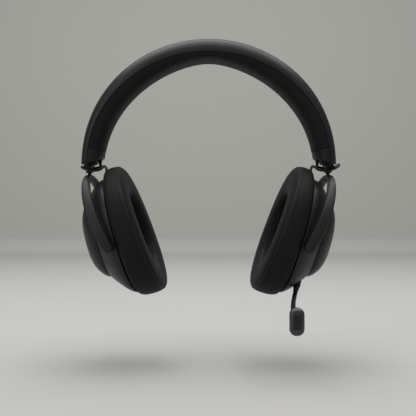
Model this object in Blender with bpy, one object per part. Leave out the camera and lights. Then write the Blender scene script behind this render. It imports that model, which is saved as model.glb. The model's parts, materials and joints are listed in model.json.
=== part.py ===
"""A wireless gaming headset with a boom microphone, as it hangs by its headband.

Units are metres and +Z is up. The origin is the underside of the headband pad at the top of the arch.
The front faces -Y. The wearer's left cup, with the microphone, is at +X.
"""

import math

import bmesh
import bpy
from mathutils import Matrix, Vector

# Clearances
FIT = 0.0003
SEAM = 0.0004

# Headband: an arch in the X-Z plane. Its outer and inner curves are superellipses of these powers
BAND_WIDTH = 0.037
ARCH_HALF_WIDTH = 0.1053
ARCH_POWER = 1.99
INNER_ARCH_POWER = 1.83
END_Z = -0.0855
COVER_HEIGHT_TOP = 0.0132
COVER_HEIGHT_END = 0.0060
COVER_WALL = 0.0022
COVER_POWER = 2.5
BAND_PAD_TOP = 0.0056
BAND_PAD_END = 0.0123
BAND_PAD_POWER = 2.8
END_CAP_HEIGHT = 0.0135
BAND_PAD_END_Z = END_Z + END_CAP_HEIGHT
FRAME_DEPTH = 0.0022
FRAME_LIP = 0.0010
FRAME_END_RISE = 0.0330
FRAME_END_Z = END_Z + FRAME_END_RISE
SPRING_WIDTH = 0.014
SPRING_THICKNESS = 0.0008
END_CAP_LIFT = 0.0058
END_CAP_INSET = 0.0004

# Sliders: a thin tang runs in the guide and a thicker blade shows below it
SLIDER_INSET = 0.0060
SLIDER_X = ARCH_HALF_WIDTH - SLIDER_INSET
BLADE_THICKNESS = 0.0041
BLADE_WIDTH = 0.0120
BLADE_SHOWN = 0.0072
BLADE_BOTTOM_Z = END_Z - BLADE_SHOWN
TANG_OFFSET = 0.0034
TANG_X = SLIDER_X - TANG_OFFSET
TANG_THICKNESS = 0.0018
TANG_LENGTH = 0.0295
TANG_TOP_Z = END_Z + TANG_LENGTH
GUIDE_WALL = 0.0013
GUIDE_LENGTH = 0.0195
GUIDE_TOP_Z = END_Z + GUIDE_LENGTH
# Its shoulder carries the cover's outer face down to the blade
SHOULDER_REACH = 0.0044
SHOULDER_DROP = 0.0048
SHOULDER_WIDTH = 0.0078
STEM_RADIUS = 0.0014
CLIP_RADIUS = 0.0030
CLIP_THICKNESS = 0.0008

# Cups: local x runs outwards from the seam plane, local z up along the tilted cup
# At rest they face slightly forwards
CUP_TILT = math.radians(16.0)
REST_SWIVEL = math.radians(3.5)
CUP_INSET = 0.0278
CUP_DROP = 0.0589
CUP_X = SLIDER_X - CUP_INSET
CUP_Z = END_Z - CUP_DROP
SEAM_HALF_HEIGHT = 0.0488
SEAM_HALF_DEPTH = 0.0440
OVAL_POWER = 2.25
HOUSING_WALL = 0.0020
HOUSING_DEPTH = 0.0165
HOUSING_INSET = 0.0143
HOUSING_CURVE = 1.65
CUP_LIFT = 0.0028
CUP_LIFT_DEPTH = 0.0110
CAP_STEP = 0.0008
CAP_DEPTH = 0.0120
CAP_INSET = 0.0188
CAP_POWER = 1.6
CAP_SLOPE = 0.03
CAP_WALL = 0.0020
PIVOT_OUT = 0.0060
PIVOT_UP = -0.0068
PIVOT_RADIUS = 0.0020
PIVOT_BOSS_RADIUS = 0.0032

# Yokes
FORK_GAP = 0.00135
FORK_POWER = 2.1
TINE_THICKNESS = 0.0046
CROWN_THICKNESS = 0.0052
CROWN_WIDTH = 0.0054
TINE_END_WIDTH = 0.0086
TINE_BOW = 0.0024
CROWN_LAND = 0.0050
PIN_COVER = 0.0010
PIN_SHORT = 0.0005
BOSS_SINK = 0.0006

# Ear pads: a wedge-shaped cushion ring, thicker at the bottom
PAD_OVERHANG = 0.0064
PAD_LIFT = 0.0015
PAD_BAND = 0.0260
PAD_THICKNESS = 0.0206
PAD_WEDGE = 0.080
PAD_POWER = 3.8

# Inside each cup
BAFFLE_THICKNESS = 0.0024
DRIVER_RADIUS = 0.0250
DRIVER_HOLE_RADIUS = 0.0210
DRIVER_DEPTH = 0.0059
DRIVER_WALL = 0.0014
MAGNET_RADIUS = 0.0130
MAGNET_DEPTH = 0.0052
SCRIM_THICKNESS = 0.0006
SCRIM_INSET = 0.0166
BOARD_SIZE = (0.0012, 0.024, 0.034)
BATTERY_SIZE = (0.0050, 0.022, 0.036)

# Controls on the back of the left cup, by their angle from the cup's lowest point
CONTROL_OUT = 0.0090
PORT_ANGLE = math.radians(8)
POWER_ANGLE = math.radians(24)
MUTE_ANGLE = math.radians(40)
WHEEL_ANGLE = math.radians(62)
BUTTON_RADIUS = 0.0030
BUTTON_PROUD = 0.0010
BUTTON_STEM = 0.0034
BUTTON_FLANGE = 0.0007
WHEEL_RADIUS = 0.0070
WHEEL_THICKNESS = 0.0030
WHEEL_PROUD = 0.0020
WHEEL_OUT = 0.0070
PORT_SIZE = (0.0090, 0.0032, 0.0066)
PORT_WALL = 0.0004
NOTCH_ANGLE = math.radians(-9)
NOTCH_OUT = 0.0042
NOTCH_SIZE = (0.0042, 0.0022, 0.0020)

# Microphone
SOCKET_ANGLE = math.radians(-22)
SOCKET_OUT = 0.0098
SOCKET_RADIUS = 0.0030
SOCKET_LENGTH = 0.0100
SOCKET_PROUD = 0.0022
PLUG_RADIUS = 0.00175
PLUG_LENGTH = 0.0085
COLLAR_RADIUS = 0.0027
COLLAR_LENGTH = 0.0045
BOOM_RADIUS = 0.00185
CAPSULE_OFFSET = Vector((-0.0080, -0.0880, -0.0594))
CAPSULE_CENTRE = Vector((CUP_X, 0, CUP_Z)) + CAPSULE_OFFSET
CAPSULE_SIZE = Vector((0.0107, 0.0088, 0.0206))
CAPSULE_POWER = 3.0
GRILLE_SIZE = Vector((0.0060, 0.0010, 0.0110))
# Where the boom ends, from the top of the capsule
BOOM_ENTRY = Vector((-0.0019, 0.0006, -0.0026))
BOOM_LEAVING = 0.0120
BOOM_ARRIVING = Vector((0.0035, 0.0180, 0.0090))

# Leads between the headband and the cups
LEAD_RADIUS = 0.0012
GLAND_RADIUS = 0.0016
GLAND_LENGTH = 0.0042
GLAND_SINK = 0.0015
UPPER_GLAND_INSET = 0.0083
UPPER_GLAND_Y = 0.0045
LOWER_GLAND_OUT = 0.0027
LOWER_GLAND_ANGLE = math.radians(148)

OVAL_POINTS = 36
ROUND_POINTS = 24
BAND_STATIONS = 30


def signed_power(value, exponent):
    return math.copysign(abs(value) ** exponent, value)


def material(name, colour, roughness, metallic=0.0):
    made = bpy.data.materials.new(name)
    made.use_nodes = True
    shader = made.node_tree.nodes["Principled BSDF"]
    shader.inputs["Base Color"].default_value = (*colour, 1.0)
    shader.inputs["Roughness"].default_value = roughness
    shader.inputs["Metallic"].default_value = metallic
    return made


def add_object(name, mesh, parent=None, location=(0, 0, 0), rotation=(0, 0, 0), finish=None):
    obj = bpy.data.objects.new(name, mesh)
    bpy.context.scene.collection.objects.link(obj)
    obj.parent = parent
    obj.location = location
    obj.rotation_euler = rotation
    if finish:
        mesh.materials.append(finish)
    return obj


def add_axis(name, parent=None, location=(0, 0, 0), rotation=(0, 0, 0)):
    return add_object(name, None, parent, location, rotation)


def mesh_from(bm, name):
    bmesh.ops.recalc_face_normals(bm, faces=bm.faces)
    mesh = bpy.data.meshes.new(name)
    bm.to_mesh(mesh)
    bm.free()
    mesh.shade_smooth()
    mesh.set_sharp_from_angle(angle=math.radians(35))
    return mesh


def loft(name, rings, wrap=False):
    """A closed skin through rings of points: capped at both ends, or joined round into a tube wall."""
    bm = bmesh.new()
    rows = [[bm.verts.new(point) for point in ring] for ring in rings]
    count = len(rows[0])
    pairs = list(zip(rows, rows[1:]))
    if wrap:
        pairs.append((rows[-1], rows[0]))
    for low, high in pairs:
        for k in range(count):
            following = (k + 1) % count
            bm.faces.new((low[k], low[following], high[following], high[k]))
    if not wrap:
        bm.faces.new(rows[0])
        bm.faces.new(rows[-1])
    return mesh_from(bm, name)


def add_cylinder(bm, radius, depth, matrix, sides=ROUND_POINTS):
    """A cylinder along the matrix's z axis, from its origin upwards."""
    placed = matrix @ Matrix.Translation((0, 0, depth / 2))
    bmesh.ops.create_cone(
        bm, cap_ends=True, segments=sides, radius1=radius, radius2=radius, depth=depth, matrix=placed
    )


def add_box(bm, size, matrix):
    bmesh.ops.create_cube(bm, size=1.0, matrix=matrix @ Matrix.Diagonal((*size, 1.0)))


def cylinder(name, radius, depth, matrix, sides=ROUND_POINTS):
    bm = bmesh.new()
    add_cylinder(bm, radius, depth, matrix, sides)
    return mesh_from(bm, name)


def lathe(name, profile, sides=ROUND_POINTS, wrap=False):
    """Turns (radius, place along x) points about the cup's x axis."""
    rings = []
    for radius, out in profile:
        turns = [2 * math.pi * k / sides for k in range(sides)]
        rings.append([Vector((out, radius * math.cos(t), radius * math.sin(t))) for t in turns])
    return loft(name, rings, wrap)


def aim(point, direction, side=Vector((1, 0, 0))):
    """A frame at the point whose z axis runs along the direction, with x as near to side as it can be."""
    z = direction.normalized()
    x = (side - z * side.dot(z)).normalized()
    y = z.cross(x)
    turned = Matrix((x, y, z)).transposed().to_4x4()
    return Matrix.Translation(point) @ turned


def bevel(obj, width, segments=2, angle=30):
    made = obj.modifiers.new("rounded_edges", "BEVEL")
    made.width = width
    made.segments = segments
    made.limit_method = "ANGLE"
    made.angle_limit = math.radians(angle)


def combine(obj, mesh, operation):
    """Adds or cuts a helper shape that lies in the object's own frame."""
    helper = add_object(mesh.name, mesh, obj.parent, obj.location, obj.rotation_euler)
    helper.hide_render = True
    helper.display_type = "WIRE"
    made = obj.modifiers.new(mesh.name, "BOOLEAN")
    made.operation = operation
    made.object = helper


def tube(name, points, radius, parent, finish):
    curve = bpy.data.curves.new(name, "CURVE")
    curve.dimensions = "3D"
    curve.bevel_depth = radius
    curve.bevel_resolution = 2
    curve.use_fill_caps = True
    spline = curve.splines.new("POLY")
    spline.points.add(len(points) - 1)
    for target, point in zip(spline.points, points):
        target.co = (*point, 1.0)
    return add_object(name, curve, parent, finish=finish)


def smooth_path(route, steps):
    """Points along a smooth curve through the route's own points."""
    padded = [route[0] * 2 - route[1], *route, route[-1] * 2 - route[-2]]
    path = []
    for before, start, end, after in zip(padded, padded[1:], padded[2:], padded[3:]):
        for k in range(steps):
            t = k / steps
            bend = (before * 2 - start * 5 + end * 4 - after) * t**2
            turn = (start * 3 - before - end * 3 + after) * t**3
            path.append((start * 2 + (end - before) * t + bend + turn) / 2)
    path.append(route[-1])
    return path


# Headband

OUTER_CURVE = (ARCH_HALF_WIDTH, BAND_PAD_TOP + COVER_HEIGHT_TOP, ARCH_POWER)
GROOVE_CURVE = (ARCH_HALF_WIDTH - COVER_HEIGHT_END, BAND_PAD_TOP, ARCH_POWER)
INNER_CURVE = (ARCH_HALF_WIDTH - COVER_HEIGHT_END - BAND_PAD_END, 0.0, INNER_ARCH_POWER)
BAND_HALF = BAND_WIDTH / 2
FRAME_HALF = BAND_HALF - COVER_WALL - 2 * FIT


def arch_point(curve, angle):
    half_width, top, power = curve
    x = half_width * signed_power(math.sin(angle), 2 / power)
    z = END_Z + (top - END_Z) * abs(math.cos(angle)) ** (2 / power)
    return Vector((x, 0, z))


def arch_angle(z):
    """The angle at which the groove between cover and pad is at this height."""
    share = (z - END_Z) / (GROOVE_CURVE[1] - END_Z)
    return math.acos(share ** (ARCH_POWER / 2))


def band_loft(name, section, first, last, stations):
    """Sweeps a section of (y, height above the groove) points along the arch."""
    rings = []
    for k in range(stations + 1):
        angle = first + (last - first) * k / stations
        groove = arch_point(GROOVE_CURVE, angle)
        outer = arch_point(OUTER_CURVE, angle)
        inner = arch_point(INNER_CURVE, angle)
        out = (outer - inner).normalized()
        points = section((outer - groove).length, (inner - groove).length)
        rings.append([groove + out * height + Vector((0, y, 0)) for y, height in points])
    return loft(name, rings)


def bow(half_width, height, power, steps):
    """Half a superellipse, from one edge of the band over to the other."""
    points = []
    for k in range(steps + 1):
        angle = math.pi * k / steps
        y = half_width * signed_power(math.cos(angle), 2 / power)
        points.append((y, height * abs(math.sin(angle)) ** (2 / power)))
    return points


def cover_section(height, _thickness):
    outer = bow(BAND_HALF, height, COVER_POWER, 10)
    inner = bow(BAND_HALF - COVER_WALL, height - COVER_WALL, COVER_POWER, 8)
    return outer + inner[::-1]


def band_pad_section(_height, thickness):
    seat = -FRAME_DEPTH - FIT
    half_seat = FRAME_HALF + FIT
    cushion = [(y, -SEAM - depth) for y, depth in bow(BAND_HALF, thickness - SEAM, BAND_PAD_POWER, 12)]
    notch = [(-half_seat, -SEAM), (-half_seat, seat), (half_seat, seat), (half_seat, -SEAM)]
    return cushion + notch


def end_cap_section(_height, thickness):
    half = BAND_HALF - END_CAP_INSET
    depth = thickness - SEAM - END_CAP_INSET
    return [(y, -SEAM - rise) for y, rise in bow(half, depth, BAND_PAD_POWER, 12)]


def plate_section(half_width, low, high):
    points = [(half_width, low), (half_width, high), (-half_width, high), (-half_width, low)]
    return lambda _height, _thickness: points


def guide_box(grow):
    """Size and centre of a slider guide, grown all round."""
    wall = GUIDE_WALL + FIT + grow
    size = (TANG_THICKNESS + 2 * wall, BLADE_WIDTH + 2 * wall, GUIDE_TOP_Z - END_Z + 2 * grow)
    return size, Matrix.Translation((TANG_X, 0, (GUIDE_TOP_Z + END_Z) / 2))


def box_mesh(name, size, matrix):
    bm = bmesh.new()
    add_box(bm, size, matrix)
    return mesh_from(bm, name)


def make_headband(root, finishes):
    right_angle = math.pi / 2
    cover = band_loft("headband_cover", cover_section, -right_angle, right_angle, BAND_STATIONS)
    add_object("headband_cover", cover, root, finish=finishes["satin"])

    frame_angle = arch_angle(FRAME_END_Z)
    frame = band_loft(
        "headband_frame", plate_section(FRAME_HALF, -FRAME_DEPTH, FRAME_LIP), -frame_angle, frame_angle, 20
    )
    add_object("headband_frame", frame, root, finish=finishes["matte"])
    low = FRAME_LIP + FIT
    spring = band_loft(
        "headband_spring",
        plate_section(SPRING_WIDTH / 2, low, low + SPRING_THICKNESS),
        -frame_angle,
        frame_angle,
        20,
    )
    add_object("headband_spring", spring, root, finish=finishes["steel"])

    pad_angle = arch_angle(BAND_PAD_END_Z)
    mesh = band_loft("headband_pad", band_pad_section, -pad_angle, pad_angle, 28)
    pad = add_object("headband_pad", mesh, root, finish=finishes["leatherette"])
    pockets = bmesh.new()
    size, place = guide_box(FIT)
    add_box(pockets, size, place)
    add_box(pockets, size, Matrix.Rotation(math.pi, 4, "Z") @ place)
    combine(pad, mesh_from(pockets, "guide_pockets"), "DIFFERENCE")


def make_headband_end(side, root, finishes):
    pad_angle = arch_angle(BAND_PAD_END_Z - SEAM)
    mesh = band_loft(side + "_end_cap", end_cap_section, pad_angle, math.pi / 2, 6)
    cap = add_object(side + "_end_cap", mesh, root, finish=finishes["matte"])
    size, place = guide_box(FIT)
    combine(cap, box_mesh(side + "_guide_way", (size[0], size[1], 2 * size[2]), place), "DIFFERENCE")
    slope = math.atan2(END_CAP_LIFT, GROOVE_CURVE[0] - INNER_CURVE[0])
    trim = Matrix.Translation((GROOVE_CURVE[0], 0, END_Z)) @ Matrix.Rotation(slope, 4, "Y")
    trim = trim @ Matrix.Translation((-BAND_PAD_END, 0, -BAND_PAD_END))
    trim_size = (4 * BAND_PAD_END, 2 * BAND_WIDTH, 2 * BAND_PAD_END)
    combine(cap, box_mesh(side + "_end_trim", trim_size, trim), "DIFFERENCE")

    size, place = guide_box(0)
    guide = add_object(
        side + "_slider_guide", box_mesh(side + "_slider_guide", size, place), root, finish=finishes["matte"]
    )
    way = (TANG_THICKNESS + 2 * FIT, BLADE_WIDTH + 2 * FIT, 2 * size[2])
    combine(guide, box_mesh(side + "_tang_way", way, place), "DIFFERENCE")


STEM_LENGTH = CROWN_LAND + CLIP_THICKNESS + 2 * FIT + SEAM


def make_slider(side, parent, finishes):
    """Profile in the axis's own frame: x from the slider's axis, z from the bottom of the cover."""
    tang_in = TANG_X - TANG_THICKNESS / 2 - SLIDER_X
    tang_out = tang_in + TANG_THICKNESS
    blade_in = -BLADE_THICKNESS / 2
    blade_out = BLADE_THICKNESS / 2
    top = TANG_TOP_Z - END_Z
    bottom = BLADE_BOTTOM_Z - END_Z
    outline = [
        (tang_in, top),
        (tang_out, top),
        (tang_out, -SEAM),
        (blade_out, -SEAM),
        (blade_out, bottom),
        (blade_in, bottom),
        (blade_in, -SEAM - abs(blade_in - tang_in)),
        (tang_in, -SEAM),
    ]
    rings = [[Vector((x, y, z)) for x, z in outline] for y in (-BLADE_WIDTH / 2, BLADE_WIDTH / 2)]
    slider = add_object(side + "_slider", loft(side + "_slider", rings), parent, finish=finishes["satin"])
    shoulder = [(0, -SEAM)]
    for k in range(5):
        turn = math.pi / 2 * k / 4
        reach = blade_in + (SHOULDER_REACH - blade_in) * math.cos(turn)
        shoulder.append((reach, -SEAM - SHOULDER_DROP * math.sin(turn)))
    rings = [[Vector((x, y, z)) for x, z in shoulder] for y in (-SHOULDER_WIDTH / 2, SHOULDER_WIDTH / 2)]
    combine(slider, loft(side + "_shoulder", rings), "UNION")
    stem_base = Matrix.Translation((0, 0, bottom - STEM_LENGTH))
    stem = cylinder(side + "_stem", STEM_RADIUS, STEM_LENGTH + BLADE_THICKNESS, stem_base, 16)
    combine(slider, stem, "UNION")

    clip_base = Matrix.Translation((0, 0, bottom - SEAM - CROWN_LAND - FIT - CLIP_THICKNESS))
    disc = cylinder(side + "_swivel_clip", CLIP_RADIUS, CLIP_THICKNESS, clip_base, 20)
    clip = add_object(side + "_swivel_clip", disc, parent, finish=finishes["steel"])
    hole_base = clip_base @ Matrix.Translation((0, 0, -CLIP_THICKNESS))
    hole = cylinder(side + "_clip_hole", STEM_RADIUS + FIT, 3 * CLIP_THICKNESS, hole_base, 16)
    combine(clip, hole, "DIFFERENCE")


# Cups and yokes


def housing_inset(out):
    return HOUSING_INSET * (max(out, 0) / HOUSING_DEPTH) ** HOUSING_CURVE


CUP_FRAME = Matrix.Translation((CUP_X, 0, CUP_Z)) @ Matrix.Rotation(CUP_TILT, 4, "Y")
PIVOT = CUP_FRAME @ Vector((PIVOT_OUT, 0, PIVOT_UP))
BAFFLE_BACK = SEAM + BAFFLE_THICKNESS
DRIVER_FRONT = BAFFLE_BACK + FIT
MAGNET_FRONT = DRIVER_FRONT + DRIVER_DEPTH + FIT
MAGNET_BACK = MAGNET_FRONT + MAGNET_DEPTH
CAP_BASE = HOUSING_DEPTH + SEAM
CAP_BASE_INSET = HOUSING_INSET + CAP_STEP
# The tines clear the housing where it is widest between them, and the bosses reach through its wall
TINE_FACE = SEAM_HALF_DEPTH - housing_inset(PIVOT_OUT - TINE_END_WIDTH / 2) + FORK_GAP
FORK_HALF_DEPTH = TINE_FACE + TINE_THICKNESS / 2
BOSS_END = TINE_FACE - SEAM
BOSS_ROOT = SEAM_HALF_DEPTH - housing_inset(PIVOT_OUT) - HOUSING_WALL - BOSS_SINK
PIN_END = FORK_HALF_DEPTH + TINE_THICKNESS / 2 - PIN_COVER
PIN_LENGTH = PIN_END - BOSS_ROOT - PIN_SHORT


def to_cup(point):
    return CUP_FRAME.inverted() @ point


def resting_cup(sign):
    """The cup's frame with its yoke turned as it rests."""
    axis = Matrix.Translation((SLIDER_X, 0, 0))
    return axis @ Matrix.Rotation(sign * REST_SWIVEL, 4, "Z") @ axis.inverted() @ CUP_FRAME


def make_yoke(side, parent, finishes):
    """The fork arches over the cup from pivot to pivot. Its crown turns on the slider's stem."""
    crown_z = BLADE_BOTTOM_Z - SEAM - math.tan(CUP_TILT) * BLADE_THICKNESS / 2
    crown_z -= CROWN_THICKNESS / 2 / math.cos(CUP_TILT)
    crown = to_cup(Vector((SLIDER_X, 0, crown_z)))
    rise = crown.z - PIVOT_UP

    def station(y, up, tangent, share):
        width = TINE_END_WIDTH + (CROWN_WIDTH - TINE_END_WIDTH) * share**3
        thickness = TINE_THICKNESS + (CROWN_THICKNESS - TINE_THICKNESS) * share
        out = PIVOT_OUT + (crown.x - PIVOT_OUT) * share + TINE_BOW * math.sin(math.pi * share**0.85)
        return Vector((out, y, up)), tangent.normalized(), width, thickness

    stations = []
    arch_steps = 24
    for k in range(arch_steps + 1):
        angle = -math.pi / 2 + math.pi * k / arch_steps
        bend = 2 / FORK_POWER
        y = FORK_HALF_DEPTH * signed_power(math.sin(angle), bend)
        share = abs(math.cos(angle)) ** bend
        ahead = Vector((0, abs(math.cos(angle)) ** (2 - bend) / rise, 0))
        ahead.z = -signed_power(math.sin(angle), 2 - bend) / FORK_HALF_DEPTH
        stations.append(station(y, PIVOT_UP + rise * share, ahead, share))
    end_radius = TINE_END_WIDTH / 2
    tail = []
    for drop in (0.4, 0.75, 0.94, 0.99):
        low = Vector((PIVOT_OUT, FORK_HALF_DEPTH, PIVOT_UP - end_radius * drop))
        width = TINE_END_WIDTH * math.sqrt(1 - drop**2)
        tail.append((low, Vector((0, 0, -1)), width, TINE_THICKNESS))
    head = []
    for point, _tangent, width, thickness in reversed(tail):
        head.append((Vector((point.x, -point.y, point.z)), Vector((0, 0, 1)), width, thickness))

    rings = []
    for centre, tangent, width, thickness in head + stations + tail:
        normal = Vector((0, -tangent.z, tangent.y))
        half, depth = width / 2, thickness / 2
        edge = 0.45 * min(half, depth)
        corners = [
            (half, depth - edge),
            (half - edge, depth),
            (edge - half, depth),
            (-half, depth - edge),
            (-half, edge - depth),
            (edge - half, -depth),
            (half - edge, -depth),
            (half, edge - depth),
        ]
        rings.append([centre + Vector((a, 0, 0)) + normal * b for a, b in corners])
    place = CUP_FRAME.translation - Vector((SLIDER_X, 0, END_Z))
    mesh = loft(side + "_yoke", rings)
    yoke = add_object(side + "_yoke", mesh, parent, place, (0, CUP_TILT, 0), finishes["satin"])

    upright = CUP_FRAME.to_3x3().inverted() @ Vector((0, 0, 1))
    seat = to_cup(Vector((SLIDER_X, 0, BLADE_BOTTOM_Z - SEAM - CROWN_LAND)))
    reach = 2 * CROWN_THICKNESS
    bore = aim(seat, upright)
    profile = [
        (STEM_RADIUS + FIT, reach),
        (STEM_RADIUS + FIT, 0),
        (CLIP_RADIUS + FIT, 0),
        (CLIP_RADIUS + FIT, -reach),
    ]
    combine(yoke, turned(side + "_crown_bore", profile, bore), "DIFFERENCE")
    holes = bmesh.new()
    for way in (-1, 1):
        start = Vector((PIVOT_OUT, way * (PIN_END + FIT), PIVOT_UP))
        inward = aim(start, Vector((0, -way, 0)))
        add_cylinder(holes, PIVOT_RADIUS + FIT, TINE_THICKNESS + PIN_COVER, inward, 16)
    combine(yoke, mesh_from(holes, side + "_pin_holes"), "DIFFERENCE")

    for name, way in (("_front_pivot_pin", -1), ("_rear_pivot_pin", 1)):
        start = Vector((PIVOT_OUT, way * PIN_END, PIVOT_UP))
        pin = cylinder(side + name, PIVOT_RADIUS, PIN_LENGTH, aim(start, Vector((0, -way, 0))), 16)
        add_object(side + name, pin, parent, place, (0, CUP_TILT, 0), finishes["steel"])


def turned(name, profile, frame, sides=16, wrap=False):
    """Turns (radius, height) points about the frame's z axis."""
    rings = []
    for radius, height in profile:
        turns = [2 * math.pi * k / sides for k in range(sides)]
        rings.append([frame @ Vector((radius * math.cos(t), radius * math.sin(t), height)) for t in turns])
    return loft(name, rings, wrap)


def cup_lift(out):
    return CUP_LIFT * min(1.0, max(out, 0) / CUP_LIFT_DEPTH)


def oval(out, inset, lift, points=OVAL_POINTS):
    """A ring round the cup, inset from the seam's outline."""
    ring = []
    for k in range(points):
        angle = 2 * math.pi * k / points
        y = (SEAM_HALF_DEPTH - inset) * signed_power(math.cos(angle), 2 / OVAL_POWER)
        up = (SEAM_HALF_HEIGHT - inset) * signed_power(math.sin(angle), 2 / OVAL_POWER)
        ring.append(Vector((out, y, up + lift)))
    return ring


def housing_point(out, angle):
    """A point on the housing's outside, by its angle from the lowest point towards the back."""
    inset = housing_inset(out)
    y = (SEAM_HALF_DEPTH - inset) * signed_power(math.sin(angle), 2 / OVAL_POWER)
    up = -(SEAM_HALF_HEIGHT - inset) * signed_power(math.cos(angle), 2 / OVAL_POWER)
    return Vector((out, y, up + cup_lift(out)))


def housing_frame(out, angle):
    """A frame on the housing's outside: z square to the surface, x along the outline."""
    step = 1e-4
    point = housing_point(out, angle)
    along = housing_point(out, angle + step) - point
    across = housing_point(out + step, angle) - point
    normal = along.cross(across)
    if normal.dot(point) < 0:
        normal = -normal
    return aim(point, normal, along)


def radial_frame(out, angle):
    """The same place, but with z square to the cup's axis."""
    frame = housing_frame(out, angle)
    normal = frame.col[2].to_3d()
    normal.x = 0
    return aim(frame.translation, normal)


def make_housing(side, sign, parent, finishes):
    depths = [HOUSING_DEPTH * share for share in (0, 0.2, 0.4, 0.6, 0.8, 1.0)]
    outer = [oval(out, housing_inset(out), cup_lift(out)) for out in depths]
    inner = [oval(out, housing_inset(out) + HOUSING_WALL, cup_lift(out)) for out in depths[::-2]]
    inner.append(oval(0, HOUSING_WALL, 0))
    housing = cup_piece(side + "_housing", loft(side + "_housing", outer + inner, True), parent, finishes["satin"])

    bosses = bmesh.new()
    holes = bmesh.new()
    boss_length = BOSS_END - BOSS_ROOT
    for way in (-1, 1):
        base = aim(Vector((PIVOT_OUT, way * BOSS_END, PIVOT_UP)), Vector((0, -way, 0)))
        add_cylinder(bosses, PIVOT_BOSS_RADIUS, boss_length, base, 20)
        start = base @ Matrix.Translation((0, 0, -boss_length))
        add_cylinder(holes, PIVOT_RADIUS + FIT, 3 * boss_length, start, 16)
    combine(housing, mesh_from(bosses, side + "_pivot_bosses"), "UNION")
    notch = housing_frame(NOTCH_OUT, sign * NOTCH_ANGLE)
    add_box(holes, NOTCH_SIZE, notch)
    gland = radial_frame(LOWER_GLAND_OUT, sign * LOWER_GLAND_ANGLE)
    add_through(holes, GLAND_RADIUS + FIT, gland)
    if side == "left":
        for angle in (POWER_ANGLE, MUTE_ANGLE):
            add_through(holes, BUTTON_RADIUS + FIT, housing_frame(CONTROL_OUT, angle))
        port = housing_frame(CONTROL_OUT, PORT_ANGLE)
        add_box(holes, (PORT_SIZE[0] + 2 * FIT, PORT_SIZE[1] + 2 * FIT, 3 * HOUSING_WALL), port)
        add_cylinder(holes, WHEEL_RADIUS + SEAM, WHEEL_THICKNESS + 2 * SEAM, wheel_frame(SEAM))
        socket = radial_frame(SOCKET_OUT, SOCKET_ANGLE)
        reach = 3 * SOCKET_RADIUS
        add_cylinder(
            holes, SOCKET_RADIUS + FIT, 2 * reach, socket @ Matrix.Translation((0, 0, -reach)), 20
        )
    combine(housing, mesh_from(holes, side + "_housing_holes"), "DIFFERENCE")


def add_through(bm, radius, frame):
    """A round hole through the housing's wall."""
    reach = 1.6 * HOUSING_WALL
    add_cylinder(bm, radius, 2 * reach, frame @ Matrix.Translation((0, 0, -reach)), 20)


def cup_piece(name, mesh, parent, finish):
    return add_object(name, mesh, parent, (-PIVOT_OUT, 0, -PIVOT_UP), finish=finish)


def cap_rings(steps, wall):
    rings = []
    for k in range(steps + 1):
        angle = math.pi / 2 * k / steps
        rise = math.sin(angle) ** (2 / CAP_POWER)
        inset = CAP_BASE_INSET + wall + CAP_INSET * (1 - math.cos(angle) ** (2 / CAP_POWER))
        ring = oval(CAP_BASE, inset, CUP_LIFT)
        for point in ring:
            point.x += rise * (CAP_DEPTH - wall - CAP_SLOPE * (point.z - CUP_LIFT))
        rings.append(ring)
    return rings


def make_cap(side, parent, finishes):
    skin = cap_rings(6, 0)[::-1] + cap_rings(4, CAP_WALL)
    cup_piece(side + "_outer_cap", loft(side + "_outer_cap", skin), parent, finishes["satin"])


def make_ear_pad(side, parent, finishes):
    rings = []
    steps = 14
    for k in range(steps):
        angle = 2 * math.pi * k / steps
        reach = PAD_BAND / 2 * signed_power(math.cos(angle), 2 / PAD_POWER)
        share = 0.5 + 0.5 * signed_power(math.sin(angle), 2 / PAD_POWER)
        ring = oval(-SEAM, PAD_BAND / 2 - PAD_OVERHANG - reach, PAD_LIFT)
        for point in ring:
            point.x -= share * (PAD_THICKNESS - PAD_WEDGE * point.z)
        rings.append(ring)
    cup_piece(side + "_ear_pad", loft(side + "_ear_pad", rings, True), parent, finishes["leatherette"])

    back = oval(SEAM - FIT, SCRIM_INSET, 0)
    front = oval(SEAM - FIT - SCRIM_THICKNESS, SCRIM_INSET, 0)
    cup_piece(side + "_scrim", loft(side + "_scrim", [back, front]), parent, finishes["cloth"])


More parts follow.
